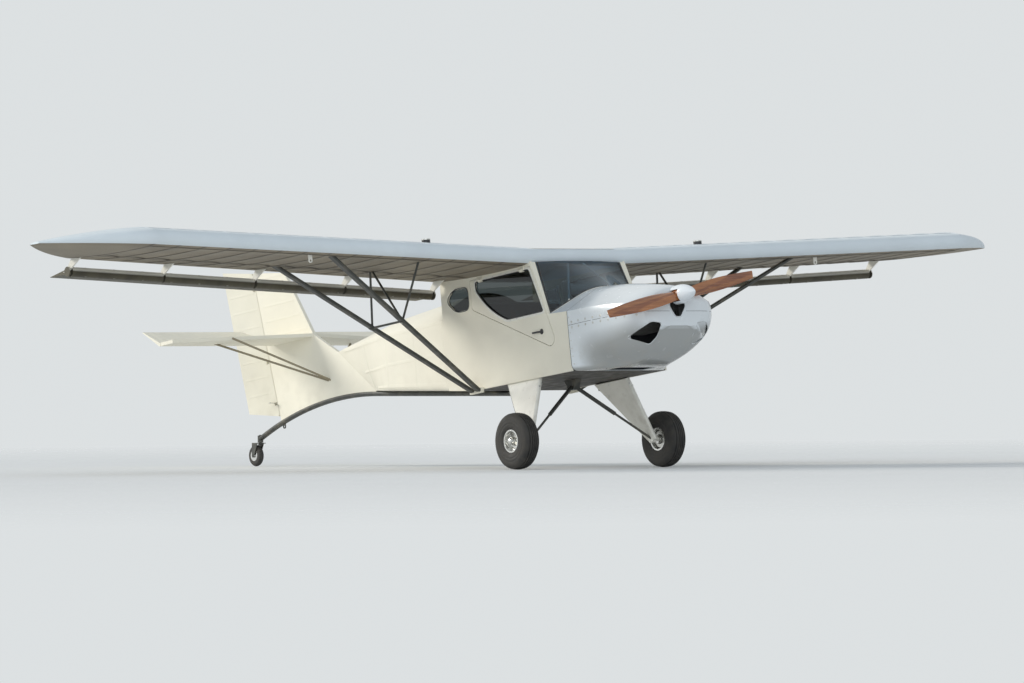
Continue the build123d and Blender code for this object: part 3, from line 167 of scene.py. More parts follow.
def bolt(mesh, centre, axis, radius=5.0, high=4.0, sides=6):
    """Set a bolt head with a chamfer and a washer, sizes in mm."""
    turned(mesh, centre, axis, [(-0.5, radius * 1.5), (0.8, radius * 1.5), (0.9, radius * 1.05)], 20)
    turned(mesh, centre, axis, [(0.8, radius), (high * 0.75, radius), (high, radius * 0.8), (high, 0)], sides)


def plate(mesh, corners, out, thick=3.0, edge=0.6):
    """Add a flat plate with chamfered edges on its outer side, sizes in mm."""
    verts, faces = mesh
    out = out.normalized()
    middle = sum(corners, Vector()) / len(corners)
    first, count = len(verts), len(corners)
    for rise, draw in ((0.0, 0.0), (thick - edge, 0.0), (thick, edge)):
        for c in corners:
            inward = (middle - c).normalized() * draw / 1000
            verts.append(c + out * rise / 1000 + inward)
    for row in range(2):
        for k in range(count):
            a, b = first + row * count + k, first + row * count + (k + 1) % count
            faces.append((a, b, b + count, a + count))
    faces.append(tuple(first + k for k in reversed(range(count))))
    faces.append(tuple(first + 2 * count + k for k in range(count)))


def piece(name, mesh, finish, body="airframe", sharp=35.0):
    """Make an object of a shape, ride it on a body and give it its finish."""
    data = bpy.data.meshes.new(name)
    data.from_pydata([tuple(v) for v in mesh[0]], [], mesh[1])
    work = bmesh.new()
    work.from_mesh(data)
    bmesh.ops.recalc_face_normals(work, faces=work.faces)
    work.to_mesh(data)
    work.free()
    data.polygons.foreach_set("use_smooth", [True] * len(data.polygons))
    data.set_sharp_from_angle(angle=radians(sharp))
    item = bpy.data.objects.new(name, data)
    stage.collection.objects.link(item)
    data.materials.append(finish)
    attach(item, body)
    return item


def mirrored(mesh):
    """Give the starboard twin of a port shape."""
    return [Vector((v.x, -v.y, v.z)) for v in mesh[0]], [tuple(reversed(f)) for f in mesh[1]]


# Finishes
def tree_of(name):
    """Make a material and give it with its node tree and its shader."""
    made = bpy.data.materials.new(name)
    made.use_nodes = True
    return made, made.node_tree, made.node_tree.nodes["Principled BSDF"]


def feed(tree, node, **values):
    """Set a node's inputs, each to a value or another node's output; _ in a name is a space."""
    for name, value in values.items():
        socket = node.inputs[name.replace("_", " ")]
        if isinstance(value, bpy.types.NodeSocket):
            tree.links.new(value, socket)
        else:
            socket.default_value = value
    return node


def put(tree, kind, **values):
    """Add a node of a type and set its inputs."""
    return feed(tree, tree.nodes.new(kind), **values)


def own(tree, kind="Object"):
    """Give the object's own coordinates, or its normals."""
    return put(tree, "ShaderNodeTexCoord").outputs[kind]


def noise_node(tree, scale, detail=4.0, stretch=(1, 1, 1), turn=(0, 0, 0)):
    """Add a noise texture in the object's own coordinates."""
    mapping = put(tree, "ShaderNodeMapping", Vector=own(tree), Rotation=turn, Scale=stretch)
    return put(tree, "ShaderNodeTexNoise", Vector=mapping.outputs["Vector"], Scale=scale,
               Detail=detail).outputs["Fac"]


def ramp(tree, fac, stops):
    """Map a value through colours at stops."""
    node = put(tree, "ShaderNodeValToRGB", Fac=fac)
    while len(node.color_ramp.elements) < len(stops):
        node.color_ramp.elements.new(0.5)
    for element, (place, colour) in zip(node.color_ramp.elements, stops):
        element.position = place
        element.color = (*colour, 1)
    return node.outputs["Color"]


def spread(tree, fac, low, high, start=0.3, end=0.7):
    """Map a value from between start and end to between low and high."""
    return put(tree, "ShaderNodeMapRange", Value=fac, From_Min=start, From_Max=end, To_Min=low,
               To_Max=high).outputs["Result"]


def maths(tree, operation, first, second):
    """Join two values by a sum of the named kind."""
    node = put(tree, "ShaderNodeMath")
    node.operation = operation
    tree.links.new(first, node.inputs[0])
    tree.links.new(second, node.inputs[1])
    return node.outputs[0]


def blend_colour(tree, fac, first, second):
    """Mix two colours, each a socket or a tuple, by a value."""
    node = put(tree, "ShaderNodeMix")
    node.data_type = "RGBA"
    for socket, value in ((node.inputs[6], first), (node.inputs[7], second)):
        if isinstance(value, tuple):
            socket.default_value = (*value, 1)
        else:
            tree.links.new(value, socket)
    tree.links.new(fac, node.inputs[0])
    return node.outputs[2]


def blend_shader(tree, fac, first, second):
    """Mix two shaders by a value."""
    node = put(tree, "ShaderNodeMixShader", Fac=fac)
    tree.links.new(first, node.inputs[1])
    tree.links.new(second, node.inputs[2])
    return node.outputs[0]


def low_down(tree, low, high):
    """Give 1 below a height of the object's own, and 0 above another, in metres."""
    height = put(tree, "ShaderNodeSeparateXYZ", Vector=own(tree)).outputs["Z"]
    return spread(tree, height, 1.0, 0.0, low, high)


def facing_down(tree, start=-0.15, end=-0.5):
    """Give 1 where the surface faces down in the object's own coordinates, and 0 elsewhere."""
    tilt = put(tree, "ShaderNodeSeparateXYZ", Vector=own(tree, "Normal")).outputs["Z"]
    return spread(tree, tilt, 0.0, 1.0, start, end)


def bump_on(tree, shader, fac, distance, strength=1.0):
    """Raise the surface by a value, up to a distance in metres."""
    bump = put(tree, "ShaderNodeBump", Height=fac, Strength=strength, Distance=distance)
    feed(tree, shader, Normal=bump.outputs["Normal"])


def shaded(colour, share):
    """Darken or lighten a colour."""
    return tuple(min(1.0, max(0.0, c * share)) for c in colour)


def mottled(tree, fac, colour, share):
    """Vary a colour by a share either way."""
    return ramp(tree, fac, [(0.3, shaded(colour, 1 - share)), (0.7, shaded(colour, 1 + share))])


def paint(name, colour, rough=0.35, spots=0.05, grain=5.0, metal=0.0, coat=0.0, bump=0.0, fine=300.0,
          grime=None, grime_height=None, under=None):
    """A painted, moulded or metal finish: uneven colour, roughness and grime, and painted shade in the under
    colour on faces that face down.
    """
    made, tree, shader = tree_of(name)
    base = mottled(tree, noise_node(tree, grain, 6.0), colour, spots)
    # Painted shade: the under colour goes on the faces that face down.
    if under:
        base = blend_colour(tree, facing_down(tree), base, under)
    if grime:
        amount = spread(tree, noise_node(tree, 9.0, 8.0), 0.0, 0.55, 0.5, 0.75)
        if grime_height:
            amount = maths(tree, "MULTIPLY", amount, low_down(tree, *grime_height))
        base = blend_colour(tree, amount, base, grime)
    sheen = spread(tree, noise_node(tree, 14.0, 8.0), rough * 0.8, min(1.0, rough * 1.3))
    feed(tree, shader, Base_Color=base, Roughness=sheen, Metallic=metal, Coat_Weight=coat,
         Coat_Roughness=0.08)
    if bump:
        bump_on(tree, shader, noise_node(tree, fine, 3.0), bump)
    return made


def cloth(name, colour, under=None, turns=(-0.05, -0.3), mottle=0.04, weave=900.0, rough=0.62,
          grime_height=(0.35, 0.95)):
    """Doped or woven cloth: fine crossed threads, mottled colour, a little grime low down, and painted shade
    in a mottled under colour on faces that face down.
    """
    made, tree, shader = tree_of(name)
    base = mottled(tree, noise_node(tree, 2.6, 8.0), colour, mottle)
    # Painted shade: a mottled under colour goes on the faces that face down.
    if under:
        shade_tone = ramp(tree, noise_node(tree, 3.4, 9.0, (0.8, 2.2, 1)),
                     [(0.32, shaded(under, 0.72)), (0.5, under), (0.68, shaded(under, 1.22))])
        base = blend_colour(tree, facing_down(tree, *turns), base, shade_tone)
    stains = spread(tree, noise_node(tree, 7.0, 9.0), 0.0, 0.22, 0.48, 0.7)
    amount = maths(tree, "MULTIPLY", stains, low_down(tree, *grime_height))
    base = blend_colour(tree, amount, base, (0.36, 0.32, 0.24))
    feed(tree, shader, Base_Color=base, Roughness=rough, Sheen_Weight=0.12)
    place, threads = own(tree), []
    for way in ("X", "Z"):
        band = put(tree, "ShaderNodeTexWave", Vector=place, Scale=weave, Distortion=0.6)
        band.bands_direction = way
        threads.append(band.outputs["Fac"])
    bump_on(tree, shader, maths(tree, "MULTIPLY", *threads), 0.0003, 0.5)
    return made


def wood():
    """Varnished laminated wood: layers stacked along the shaft and grain along the blades."""
    made, tree, shader = tree_of("propeller_wood")
    blade = towards(PORT, UP, radians(12.0))
    turn = tuple(Matrix((AHEAD, blade, AHEAD.cross(blade))).to_euler())
    mapping = put(tree, "ShaderNodeMapping", Vector=own(tree), Rotation=turn)
    layers = put(tree, "ShaderNodeTexWave", Vector=mapping.outputs["Vector"], Scale=14.0, Distortion=0.4,
                 Detail=1.0)
    layers.bands_direction = "X"
    bands = ramp(tree, layers.outputs["Fac"], [(0.35, (0.20, 0.055, 0.018)), (0.62, (0.40, 0.15, 0.045))])
    grain = noise_node(tree, 60.0, 8.0, (1.0, 0.05, 1.0), turn)
    streaks = ramp(tree, grain, [(0.35, (0.16, 0.045, 0.015)), (0.65, (0.44, 0.17, 0.06))])
    base = blend_colour(tree, spread(tree, noise_node(tree, 9.0, 4.0), 0.25, 0.65), bands, streaks)
    feed(tree, shader, Base_Color=base, Roughness=spread(tree, grain, 0.16, 0.30), Coat_Weight=0.7,
         Coat_Roughness=0.05)
    bump_on(tree, shader, grain, 0.0002, 0.4)
    return made


def clear(name, tint, gloss, rough=0.006):
    """Clear acrylic with faint smears."""
    made, tree, shader = tree_of(name)
    smears = noise_node(tree, 5.0, 7.0, (1, 1, 3))
    feed(tree, shader, Base_Color=ramp(tree, smears, [(0.3, shaded(tint, 0.92)), (0.7, tint)]),
         Roughness=spread(tree, smears, rough, rough * 3), Transmission_Weight=1.0, IOR=1.45,
         Specular_IOR_Level=gloss)
    return made


def rubber():
    """Black rubber with dust on it."""
    made, tree, shader = tree_of("tyre_rubber")
    dust = noise_node(tree, 16.0, 9.0)
    black = ramp(tree, dust, [(0.35, (0.018, 0.018, 0.017)), (0.72, (0.055, 0.050, 0.043))])
    feed(tree, shader, Base_Color=black, Roughness=spread(tree, dust, 0.55, 0.85))
    bump_on(tree, shader, noise_node(tree, 500.0, 4.0), 0.0004)
    return made


# Painted light: the cream colour is warm sunlight painted on the white cloth of the fuselage, tail and tapes.
SUNLIT_CREAM, UNDER_SHADE = (0.84, 0.80, 0.67), (0.205, 0.165, 0.105)
sunlit_cream_cloth = cloth("sunlit_cream_cloth", SUNLIT_CREAM)
# Painted shade: the white cloth of the wing, its upper tapes and the centre section is given a darker, bluish
# tone of sky-lit shade.
wing_skin = cloth("wing_skin", (0.71, 0.775, 0.81))
# Painted shade: the wing's lower skin and its lower tapes are a mottled dark brown that stands in for the
# shade under the wing and the light through its cloth.
wing_belly = cloth("wing_belly", UNDER_SHADE, mottle=0.22)
wing_tape = cloth("wing_tape", (0.71, 0.765, 0.79))
belly_tape_shade = cloth("belly_tape_shade", shaded(UNDER_SHADE, 0.5), mottle=0.1)
# Painted shade: the flaperons' undersides and the lower part of their noses are near black, standing in for
# the shade under the wing.
flap_skin_shaded_below = cloth("flap_skin_shaded_below", (0.82, 0.81, 0.74), under=(0.075, 0.066, 0.040), turns=(0.45, 0.1))
# Painted shade: the white cowl's gel coat is given a bluish grey of sky-lit shade, and a darker grey on faces
# that face down for the shade under the cowl.
shaded_gel = paint("gel_sky_shaded", (0.73, 0.77, 0.79), 0.22, 0.03, 3.0, coat=0.5, bump=0.0002, fine=90.0,
            grime=(0.45, 0.42, 0.36), grime_height=(0.75, 1.15), under=(0.42, 0.43, 0.42))
white = paint("white_gloss", (0.82, 0.80, 0.72), 0.30, 0.05, 8.0, coat=0.25, bump=0.0002,
              grime=(0.30, 0.26, 0.19), grime_height=(0.2, 0.8))
dark = paint("dark_tube", (0.050, 0.052, 0.045), 0.36, 0.2, 18.0, bump=0.0001, grime=(0.16, 0.14, 0.10))
tan_metal = paint("tan_tube", (0.27, 0.23, 0.15), 0.42, 0.12, 20.0, bump=0.0001)
alloy = paint("polished_alloy", (0.72, 0.72, 0.70), 0.24, 0.08, 30.0, metal=1.0, grime=(0.16, 0.14, 0.11))
steel = paint("plated_steel", (0.58, 0.58, 0.55), 0.32, 0.12, 40.0, metal=1.0)
cast = paint("cast_alloy", (0.28, 0.28, 0.27), 0.55, 0.15, 40.0, metal=0.8, bump=0.0006, fine=180.0)
spin_paint = paint("spinner_gloss", (0.80, 0.84, 0.87), 0.18, 0.03, 6.0, coat=0.7)
inside = paint("inside_grey", (0.060, 0.062, 0.066), 0.6, 0.15, 12.0, bump=0.0003)
# Painted shade: the belly floor is near black, standing in for the shade under the fuselage.
belly_shade = paint("belly_painted_shade", (0.050, 0.046, 0.040), 0.55, 0.25, 6.0, bump=0.0003,
                    grime=(0.16, 0.13, 0.09))
black_plastic = paint("black_plastic", (0.030, 0.030, 0.032), 0.45, 0.2, 30.0, bump=0.0004, fine=400.0)
screen = clear("screen_acrylic", (0.27, 0.38, 0.47), 0.4)
side_glass = clear("side_acrylic", (0.07, 0.085, 0.085), 0.2)
# Painted light: the rudder's cloth carries the same warm sunlit cream tone painted on white fabric, a little
# darker.
rudder_cloth = cloth("rudder_cloth", (0.77, 0.735, 0.61))
prop_wood = wood()
tyre_black = rubber()
seat_weave = cloth("seat_weave", (0.115, 0.125, 0.145), mottle=0.14, weave=420.0, rough=0.85,
                   grime_height=(0.0, 0.1))
belt_weave = cloth("belt_weave", (0.30, 0.035, 0.03), mottle=0.1, weave=600.0, rough=0.7,
                   grime_height=(0.0, 0.1))

BY_SLOT = {
    "wing_fabric": sunlit_cream_cloth, "fabric": sunlit_cream_cloth, "cowl_paint": shaded_gel, "white_paint": white,
    "dark_tube": dark, "tan_tube": tan_metal, "glass": side_glass, "tyre": tyre_black, "rim": alloy,
    "wood": prop_wood, "spinner": spin_paint, "engine": cast, "seat_cloth": seat_weave, "interior": inside,
    "cap": black_plastic,
}
SPECIAL = {
    "flaperon_left": flap_skin_shaded_below, "flaperon_right": flap_skin_shaded_below, "windscreen": screen, "skylight": screen,
    "belly_floor": belly_shade, "centre_section": wing_skin, "rudder": rudder_cloth,
}
for part in record["subparts"]:
    node = nodes[part["node"]]
    node.data.materials.clear()
    node.data.materials.append(SPECIAL.get(part["node"], BY_SLOT[part["material_slot"]]))

# Wing skins: a smooth leading edge, cloth that sinks between the ribs, tapes over them and a raked tip
CHORD, ROOT_Y, TIP_Y, END_Y = 1245.0, 480.0, 4080.0, 4800.0
TIP_MID_Y, TIP_MID_CHORD, TIP_MID_BACK = 4480.0, 760.0, 235.0
END_CHORD, END_BACK = 130.0, 560.0
WING_Z, INCIDENCE, WASHOUT, DIHEDRAL = 942.0, 0.9, 2.2, 2.2
CREST, BELLY = (-0.30, 0.095), (-0.14, -0.045)
NOSE_TOP, NOSE_TIP, NOSE_LOW = (-0.030, 0.055), (0.0, 0.005), (-0.032, -0.038)
TAIL_HALF = 0.004
RIBS = 15


def arc_height(top, end, x):
    """Height on the arc that is level at one point and ends at another."""
    dx, dz = end[0] - top[0], end[1] - top[1]
    radius = (dx * dx + dz * dz) / (2 * abs(dz))
    drop = radius - sqrt(max(0.0, radius * radius - (x - top[0]) ** 2))
    return top[1] - drop if dz < 0 else top[1] + drop


def upper_at(x):
    """Height of the section's upper side."""
    return arc_height(CREST, NOSE_TOP if x > CREST[0] else (-1.0, TAIL_HALF), x)


def lower_at(x):
    """Height of the section's lower side."""
    return arc_height(BELLY, NOSE_LOW if x > BELLY[0] else (-1.0, -TAIL_HALF), x)


UPPER = [-1 + (1 + NOSE_TOP[0]) * (k / 26) for k in range(27)]
LOWER = [NOSE_LOW[0] + (-1 - NOSE_LOW[0]) * (k / 26) for k in range(27)]
LOOP = ([(x, upper_at(x), 1) for x in UPPER]
        + [(x, z, 0) for x, z in arc(NOSE_TOP, NOSE_TIP, NOSE_LOW, 10)[1:-1]]
        + [(x, lower_at(x), -1) for x in LOWER])


def wing_frame(y):
    """Chord, sweep back and pitch of the wing at a station."""
    t = max(0.0, (y - TIP_Y) / (END_Y - TIP_Y))
    mid = (TIP_MID_Y - TIP_Y) / (END_Y - TIP_Y)

    def through(a, b, c):
        return (a * (t - mid) * (t - 1) / mid + b * t * (t - 1) / (mid * (mid - 1))
                + c * t * (t - mid) / (1 - mid))
    size = through(CHORD, TIP_MID_CHORD, END_CHORD) if t else CHORD
    back = through(0.0, TIP_MID_BACK, END_BACK) if t else 0.0
    share = min(1.0, (y - ROOT_Y) / (TIP_Y - ROOT_Y))
    return size, back, radians(INCIDENCE - WASHOUT * share)


def wing_point(y, x, z):
    """Place a point of the wing's section at a station, x and z as shares of the chord."""
    size, back, pitch = wing_frame(y)
    lift = (y - ROOT_Y) * tan(radians(DIHEDRAL))
    dx, dz = x * size - back, z * size
    return at(dx * cos(pitch) - dz * sin(pitch), y, WING_Z + lift + dx * sin(pitch) + dz * cos(pitch))


rib_step = (TIP_Y - ROOT_Y) / RIBS
stations = []
for bay in range(RIBS):
    start = ROOT_Y + bay * rib_step
    stations += [(start + rib_step * t, sin(pi * t)) for t in (0.0, 0.06, 0.16, 0.3, 0.5, 0.7, 0.84, 0.94)]
stations.append((TIP_Y, 0.0))
stations += [(TIP_Y + (END_Y - TIP_Y) * sin(pi / 2 * k / 16), 0.0) for k in range(1, 17)]


def sag_at(x, side, bay_share, y):
    """How far the cloth sinks between two ribs, in shares of the chord."""
    back = smooth((-x - 0.10) / 0.10) * smooth((x + 0.985) / 0.06)
    depth = (0.0052 if side > 0 else 0.0072) * bay_share * back
    if side < 0 and bay_share:
        ruck = noise.noise(Vector((x * 5.5 + y * 0.0011, y * 0.0031, 7.0)))
        depth += 0.0040 * abs(ruck) * back * bay_share
    return depth


def wing_skins():
    """The upper and nose skin, and the lower skin, as two shapes that share an edge line."""
    top, low = shape(), shape()
    cut = max(n for n, (_, _, side) in enumerate(LOOP) if side >= 0) + 1
    for mesh, part_loop in ((top, LOOP[:cut + 1]), (low, LOOP[cut:])):
        count = len(part_loop)
        for n, (y, bay_share) in enumerate(stations):
            mesh[0].extend(wing_point(y, x, z - side * sag_at(x, side, bay_share, y))
                           for x, z, side in part_loop)
            if n:
                a, b = (n - 1) * count, n * count
                mesh[1].extend((a + k, a + k + 1, b + k + 1, b + k) for k in range(count - 1))
    for y, way in ((ROOT_Y, 1), (END_Y, -1)):
        first = len(top[0])
        top[0].extend(wing_point(y, x, z) for x, z, _ in LOOP)
        top[1].append(tuple(range(first, first + len(LOOP)))[::way])
    first = len(top[0])
    for y, _ in stations:
        top[0].extend(wing_point(y, -1, z) for z in (TAIL_HALF, -TAIL_HALF))
    top[1].extend((first + 2 * n, first + 2 * n + 1, first + 2 * n + 3, first + 2 * n + 2)
                  for n in range(len(stations) - 1))
    return top, low


def wing_tapes():
    """Rib tapes over the skins, and tapes along the span."""
    above, below = shape(), shape()
    over = Vector((0, 0, 1))
    for rib in range(1, RIBS + 1):
        y = ROOT_Y + rib * rib_step
        tape(above, [wing_point(y, x, upper_at(x) + 0.0003) for x in UPPER[1:]], over, 26.0, 1.0)
        tape(below, [wing_point(y, x, lower_at(x) - 0.0003) for x in LOWER[:-1]], -over, 26.0, 1.0)
    ys = [ROOT_Y + 4 + (TIP_Y - ROOT_Y - 8) * n / 40 for n in range(41)]
    for x, mesh, height, way in ((-0.12, above, upper_at, 1), (-0.10, below, lower_at, -1),
                                 (-0.69, below, lower_at, -1), (-0.975, above, upper_at, 1)):
        tape(mesh, [wing_point(y, x, height(x) + way * 0.0002) for y in ys], over * way, 34.0, 0.9)
    return above, below


skin_top, skin_low = wing_skins()
tape_top, tape_low = wing_tapes()
for side, turn in (("left", lambda m: m), ("right", mirrored)):
    # The lower skins take the dark brown cloth of painted shade.
    for name, mesh, finish in (("upper", skin_top, wing_skin), ("lower", skin_low, wing_belly)):
        skin = piece(f"wing_{name}_{side}", turn(mesh), finish, sharp=30.0)
        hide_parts(f"wing_{side}")
    piece(f"wing_tapes_{side}", turn(tape_top), wing_tape)
    piece(f"wing_low_tapes_{side}", turn(tape_low), belly_tape_shade)


# Finders: where a straight look meets a node's skin
def meet(names, start, way):
    """Give where a look from start along way first meets one of the nodes, and the skin's direction."""
    found = None
    for name in names:
        hit, place, normal, _ = nodes[name].ray_cast(start, way)
        if hit and (found is None or (place - start).length < (found[0] - start).length):
            found = (place.copy(), normal.copy())
    return found


def skin_path(names, starts, way, off=0.3):
    """Follow the skin under a row of looks, a little off it; looks that miss are left out."""
    hits = [meet(names, start, way) for start in starts]
    return [hit[0] - way * off / 1000 for hit in hits if hit]


def line(a, b, count):
    """Give points between two (x, y, z) places of the level frame."""
    return [at(*(p + (q - p) * k / count for p, q in zip(a, b))) for k in range(count + 1)]


def sideways(points, hand):
    """Draw a polyline of (x, z) points as places well out to one side."""
    path = []
    for (ax, az), (bx, bz) in zip(points, points[1:]):
        path += line((ax, BESIDE * hand, az), (bx, BESIDE * hand, bz), 24)
    return path


def rounded(corners, radius, count=5):
    """Round the corners of a closed outline."""
    loop = []
    for n, corner in enumerate(corners):
        here = Vector(corner)
        before, after = Vector(corners[n - 1]), Vector(corners[(n + 1) % len(corners)])
        a = here + (before - here).normalized() * min(radius, (before - here).length * 0.45)
        b = here + (after - here).normalized() * min(radius, (after - here).length * 0.45)
        for k in range(count + 1):
            t = k / count
            loop.append(a * (1 - t) ** 2 + here * 2 * t * (1 - t) + b * t * t)
    return loop


def grown(loop, by):
    """Move a closed outline outwards."""
    area = sum(a.x * b.y - b.x * a.y for a, b in zip(loop, loop[1:] + loop[:1]))
    outline = []
    for n, here in enumerate(loop):
        run = (loop[(n + 1) % len(loop)] - loop[n - 1]).normalized()
        outline.append(here + Vector((run.y, -run.x)) * (by if area > 0 else -by))
    return outline


def spaced(path, step):
    """Give points every step mm along a path."""
    points, left = [], step / 2000
    for a, b in zip(path, path[1:]):
        length = (b - a).length
        while left <= length and length > 0:
            points.append(a.lerp(b, left / length))
            left += step / 1000
        left -= length
    return points


def screw(mesh, centre, axis, radius=2.8):
    """Set a domed screw head in a shallow washer, sizes in mm."""
    turned(mesh, centre, axis, [(-0.4, radius * 1.7), (0.5, radius * 1.6), (0.7, radius), (1.5, radius * 0.7),
                                (1.8, 0)], 10)


def screw_row(mesh, path, step, axis, off=1.0, radius=2.8):
    """Set screws every step mm along a path, a little off it, all facing along axis."""
    for p in spaced(path, step):
        screw(mesh, p + axis * off / 1000, axis, radius)


# Door windows: a raised frame with screws and a rubber strip; quarter windows: a rubber strip with screws
CABIN_HALF = 480.0
BOW = arc((-367.0, 487.0), (-575.0, 600.0), (-752.0, 775.0), 12)
WINDOW = rounded([(105, 487), (-43, 847), (-752, 847), (-752, 775)] + BOW[-2:0:-1] + [(-367, 487)], 25)
QUARTER = rounded([(-1150, 742), (-1060, 822), (-860, 822), (-860, 640), (-1030, 640)], 55)
GRIP_SECTION = [(-0.002, -0.007), (0.003, -0.007), (0.005, 0), (0.003, 0.007), (-0.002, 0.007)]
for side, hand in SIDES:
    out = PORT * hand
    frame_mesh, gasket, screws, handle = shape(), shape(), shape(), shape()
    loop = [at(p.x, (CABIN_HALF + 0.4) * hand, p.y) for p in grown(WINDOW, 9)]
    inner_loop = [at(p.x, (CABIN_HALF + 0.8) * hand, p.y) for p in grown(WINDOW, -1)]
    tape(frame_mesh, loop, out, 24.0, 1.6, ring=True)
    tape(gasket, inner_loop, out, 8.0, 3.0, ring=True)
    screw_row(screws, loop + loop[:1], 85, out, 1.8)
    middle = at(60, CABIN_HALF * hand, 330)
    turned(handle, middle, out, [(-1, 22), (2, 22), (4, 19), (6, 12), (12, 10), (14, 0)], 24)
    grip = [middle + out * 0.013 + AHEAD * x / 1000 - UP * x * 0.02 / 1000
            for x in (8, 0, -20, -60, -95, -110)]
    swept(handle, grip, GRIP_SECTION, UP)
    body = f"door_{side}"
    piece(f"window_frame_{side}", frame_mesh, white, body)
    piece(f"window_rubber_{side}", gasket, black_plastic, body)
    piece(f"window_screws_{side}", screws, steel, body)
    piece(f"door_handle_{side}", handle, black_plastic, body)
    rubber_strip, ring_screws = shape(), shape()
    starts = [at(p.x, BESIDE * hand, p.y) for p in grown(QUARTER, 5)]
    laid = skin_path((f"cabin_side_{side}",), starts, -out, 0.0)
    tape(rubber_strip, laid, out, 7.0, 2.6, ring=True)
    screw_row(ring_screws, laid + laid[:1], 75, out, 2.0, 2.2)
    piece(f"quarter_rubber_{side}", rubber_strip, black_plastic)
    piece(f"quarter_screws_{side}", ring_screws, steel)

# Windscreen: a rubber bead and a screwed strip along its foot, strips on the posts, tubes behind it
CROWN_Z, CROWN_RADIUS, CROWN_HALF = 157.5, 498.5, 249.2
SILL_Z, SHOULDER = 456.0, radians(30)
SCREEN_X, SCREEN_RAKE = 170.0, 0.68
HOOP_X = -846  # the tubes behind the seats


def deck_line(y, ahead=0.0):
    """Give the place on the nose deck where the windscreen stands, or ahead of it."""
    out = abs(y)
    if out < CROWN_HALF:
        z = CROWN_Z + sqrt(CROWN_RADIUS ** 2 - out * out)
    else:
        z = SILL_Z + (CABIN_HALF - out) * tan(SHOULDER)
    return (SCREEN_X + SCREEN_RAKE * (z - SILL_Z) + ahead, y, z)


foot, strip, strip_screws, posts, tubes = shape(), shape(), shape(), shape(), shape()
ys = [-468 + 936 * k / 60 for k in range(61)]
tube(foot, [at(*deck_line(y, 2)) + UP * 0.002 for y in ys], 5.0, 10)
laid = skin_path(("nose_deck", "cowl_upper"), [at(*deck_line(y, 20)) + UP * 0.4 for y in ys], -UP, 0.2)
tape(strip, laid, UP, 26.0, 1.4)
screw_row(strip_screws, laid, 80, UP)
for hand in (1, -1):
    tube(posts, line((173, 459 * hand, 462), (-8, 411 * hand, 897), 8), 5.5, 10)
    tube(tubes, line((-60, 60 * hand, 915), (238, 318 * hand, 532), 6), 9.0)
    tube(tubes, line((HOOP_X, 440 * hand, 40), (HOOP_X, 430 * hand, 838), 6), 9.0)
tube(tubes, line((HOOP_X, 440, 690), (HOOP_X, -440, 690), 6), 9.0)
tube(tubes, line((HOOP_X, 440, 60), (HOOP_X, -440, 680), 6), 8.0)
piece("windscreen_rubber", foot, black_plastic)
piece("windscreen_strip", strip, white)
piece("windscreen_screws", strip_screws, steel)
piece("windscreen_posts", posts, black_plastic)
piece("cabin_tubes", tubes, white)

# Skylight: a screwed strip round it
sky, sky_screws = shape(), shape()
ring = rounded([(-52, 418), (-52, -418), (-658, -418), (-658, 418)], 40)
laid = skin_path(("centre_section",), [at(p.x, p.y, 1300) for p in ring], -UP, 0.2)
tape(sky, laid, UP, 26.0, 1.4, ring=True)
screw_row(sky_screws, laid + laid[:1], 95, UP)
piece("skylight_strip", sky, white)
piece("skylight_screws", sky_screws, steel)

# Cowling: parting lines, fasteners, lips round the openings and a cooler behind them
COWL = ("cowl_upper", "cowl_lower")
SPLIT_Z, REAR_X, COOLER_X = 330, 421, 1084
CHEEK_TURN = radians(38.3)  # how far round from ahead the cheek openings face
CHEEK = grown(rounded([(330, 143), (533, 248), (612, 234), (564, 138), (500, 84)], 22), 3.5)
INTAKE = grown(rounded([(-72, 402), (72, 402), (78, 366), (27, 288), (-27, 288), (-78, 366)], 18), 3.5)
LIP = ring_of(8, 0.0042)
FASTENER = [(-0.5, 9.5), (0.8, 9.2), (1.1, 7), (0.7, 6.6), (1.4, 5), (1.5, 0)]


def on_cheek(outline, hand):
    """Lay an outline on a cheek's skin from the way that its opening faces, and give that way too."""
    out = towards(AHEAD, PORT * hand, CHEEK_TURN)
    starts = [at(p.x * sin(CHEEK_TURN) + 2000 * cos(CHEEK_TURN),
                 hand * (2000 * sin(CHEEK_TURN) - p.x * cos(CHEEK_TURN)), p.y) for p in outline]
    return skin_path(COWL, starts, -out, 0.0), out


def bulged(edge, around, out, rings=13):
    """Close an edge with a panel that goes on from the skin round it; give its middle and bulge too."""
    middle = sum(edge, Vector()) / len(edge)
    bulge = sum((p + (p - q).normalized() * (p - middle).length - middle).dot(out)
                for p, q in zip(edge, around)) / len(edge) / 2
    (verts, faces), count = shape(), len(edge)
    for k in range(rings):
        t = 1 - k / rings
        verts.extend(middle + (p - middle) * t + out * bulge * (1 - t * t) for p in edge)
    verts.append(middle + out * bulge)
    for k in range(rings - 1):
        a, b = k * count, (k + 1) * count
        faces.extend((a + n, a + (n + 1) % count, b + (n + 1) % count, b + n) for n in range(count))
    faces.extend((b + n, b + (n + 1) % count, b + count) for n in range(count))
    return (verts, faces), middle, bulge


